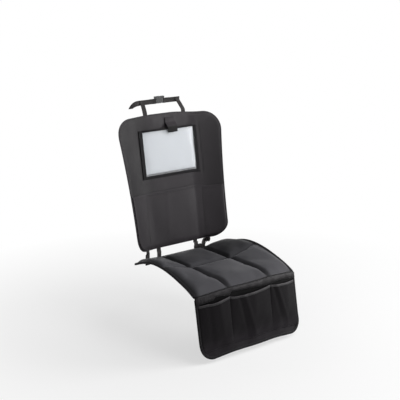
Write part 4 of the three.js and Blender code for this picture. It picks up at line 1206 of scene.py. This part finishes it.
def build_links(runs):
    link_y = PAD_REAR + LINK_GAP
    run_y, gap = link_y + WEB_THICK * 0.8, LOOP_GAP + WEB_THICK
    for side, word in ((-1, "left"), (1, "right")):
        inner, outer, drop = LINKS[side]
        top = -drop + WEB_WIDTH / 2
        for number, (top_x, foot_x) in enumerate(((LINK_IN, inner), (LINK_OUT, outer))):
            route = [sewn_stop(side, top_x, v) for v in (STRAP_SEWN, 0, -RELIEF)]
            route += [
                stop(side, (top_x + foot_x) / 2, link_y + 4, (PANEL_LIFT + top) / 2, ALONG_X),
                stop(side, foot_x, link_y, top - 2, ALONG_X),
                stop(side, foot_x, link_y, top - WEB_WIDTH, ALONG_X),
            ]
            replaces = f"link_strap_{word}" if number == 0 else None
            webbing(f"link_strap_{word}_leg_{number}", route, 40, replaces=replaces)
            runs += box_stitches(side, top_x, 10, 24)
        ends = (inner - WEB_WIDTH / 2, outer + WEB_WIDTH / 2)
        route = [stop(side, x, run_y, -drop, ALONG_Z) for x in ends]
        webbing(f"link_strap_{word}_run", route, 12)
        x, near_y = side * (inner + outer) / 2, run_y - gap
        low, high = -drop - WEB_WIDTH / 2 - gap, -drop + WEB_WIDTH / 2 + gap
        ring = loop_ring(x, near_y, run_y + gap, low, high)
        profile, replaces = web_profile(LOOP_WIDTH), f"pad_loop_{word}"
        sweep(f"pad_loop_{word}_ring", *ring, profile, True, WEBBING, replaces)
        tail = [((x, y, -UNDER_EDGE), ALONG_X) for y in (near_y, near_y - LOOP_TAIL)]
        webbing(f"pad_loop_{word}_tail", tail, 8, width=LOOP_WIDTH)
    stitches("strap_box_stitches", runs, pitch=3.6, length=2.6)


def build_buckle():
    for name in ("buckle_socket", "buckle_plug"):
        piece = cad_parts[name]
        for slot in piece.material_slots:
            slot.material = PLASTIC
        if not piece.material_slots:
            piece.data.materials.append(PLASTIC)
        bevel = piece.modifiers.new("Soft edges", "BEVEL")
        bevel.width = 0.0006
        bevel.segments = 2
        bevel.limit_method = "ANGLE"
        bevel.angle_limit = math.radians(40)


# Camera, floor and light, in metres


def build_camera():
    data = bpy.data.cameras.new("camera")
    data.sensor_fit = "HORIZONTAL"
    data.sensor_width = 36
    data.lens = 86.35
    data.clip_end = 200
    camera = add_object("camera", data)
    camera.location = (-2.2316, -2.7109, 1.1732)
    camera.rotation_euler = (math.radians(90 - 14.51), 0, math.radians(-38.66))
    bpy.context.scene.camera = camera


def build_floor():
    """A white floor that keeps the object's shadow and is pale grey beneath it."""
    size, z = 40, -0.262
    points = [(-size, -size, z), (size, -size, z), (size, size, z), (-size, size, z)]
    mesh = bpy.data.meshes.new("floor")
    mesh.from_pydata(points, [], [(0, 1, 2, 3)])
    s = Shading("floor")
    tone = s.add(0.84, s.mul(s.noise(3, 2), 0.02))
    s.dress((1.0, 1.0, 1.0), tone, 0.9, Specular_IOR_Level=0.1)
    away = s.node("ShaderNodeVectorMath", {0: s.place()}, operation="LENGTH").outputs["Value"]
    white = s.node("ShaderNodeEmission", {"Color": (1, 1, 1, 1), "Strength": 1.0})
    share = s.mul(s.seen(), s.ramp(away, 0.5, 1.5, 0.62, 1.0))
    mixed = s.node("ShaderNodeMixShader", {0: share, 1: s.shader.outputs[0], 2: white.outputs[0]})
    output = next(n for n in s.tree.nodes if n.type == "OUTPUT_MATERIAL")
    s.put(output, "Surface", mixed.outputs[0])
    mesh.materials.append(s.material)
    add_object("floor", mesh)


def area_light(name, place, target, size, power):
    data = bpy.data.lights.new(name, "AREA")
    data.shape = "RECTANGLE"
    data.size, data.size_y = size
    data.energy = power
    light = add_object(name, data)
    light.location = place
    light.rotation_mode = "QUATERNION"
    way = mathutils.Vector(target) - mathutils.Vector(place)
    light.rotation_quaternion = way.to_track_quat("-Z", "Y")


def build_light():
    world = bpy.data.worlds.new("world")
    bpy.context.scene.world = world
    world.use_nodes = True
    s = Shading(tree=world.node_tree)
    s.tree.nodes.clear()
    way = s.node("ShaderNodeTexCoord").outputs["Generated"]
    bright = (0.45, -0.75, 0.48)
    facing = s.node("ShaderNodeVectorMath", {0: way, 1: bright}, operation="DOT_PRODUCT")
    level = s.ramp(facing.outputs["Value"], -0.5, 1.0, 0.1, 0.34)
    soft = s.node("ShaderNodeBackground", {"Color": (1, 1, 1, 1), "Strength": level})
    white = s.node("ShaderNodeBackground", {"Color": (1, 1, 1, 1), "Strength": 1.0})
    links = {0: s.seen(), 1: soft.outputs[0], 2: white.outputs[0]}
    mixed = s.node("ShaderNodeMixShader", links)
    s.node("ShaderNodeOutputWorld", {"Surface": mixed.outputs[0]})
    area_light("key", (2.6, -1.6, 1.1), (0, 0, 0.1), (1.5, 1.8), 85)
    area_light("overhead", (0.7, -1.7, 2.6), (0, -0.1, 0), (1.6, 1.6), 42)
    area_light("fill", (-1.9, 2.6, 0.8), (0, 0.2, 0.25), (1.8, 1.2), 8)
    bpy.context.scene.view_settings.view_transform = "Standard"


build_camera()
build_pad_trim(*build_pad())
build_panel()
build_window()
build_closure()
build_lower_pocket()
build_flap()
build_flap_pockets()
build_band()
build_links(build_top_straps())
build_buckle()
build_floor()
build_light()
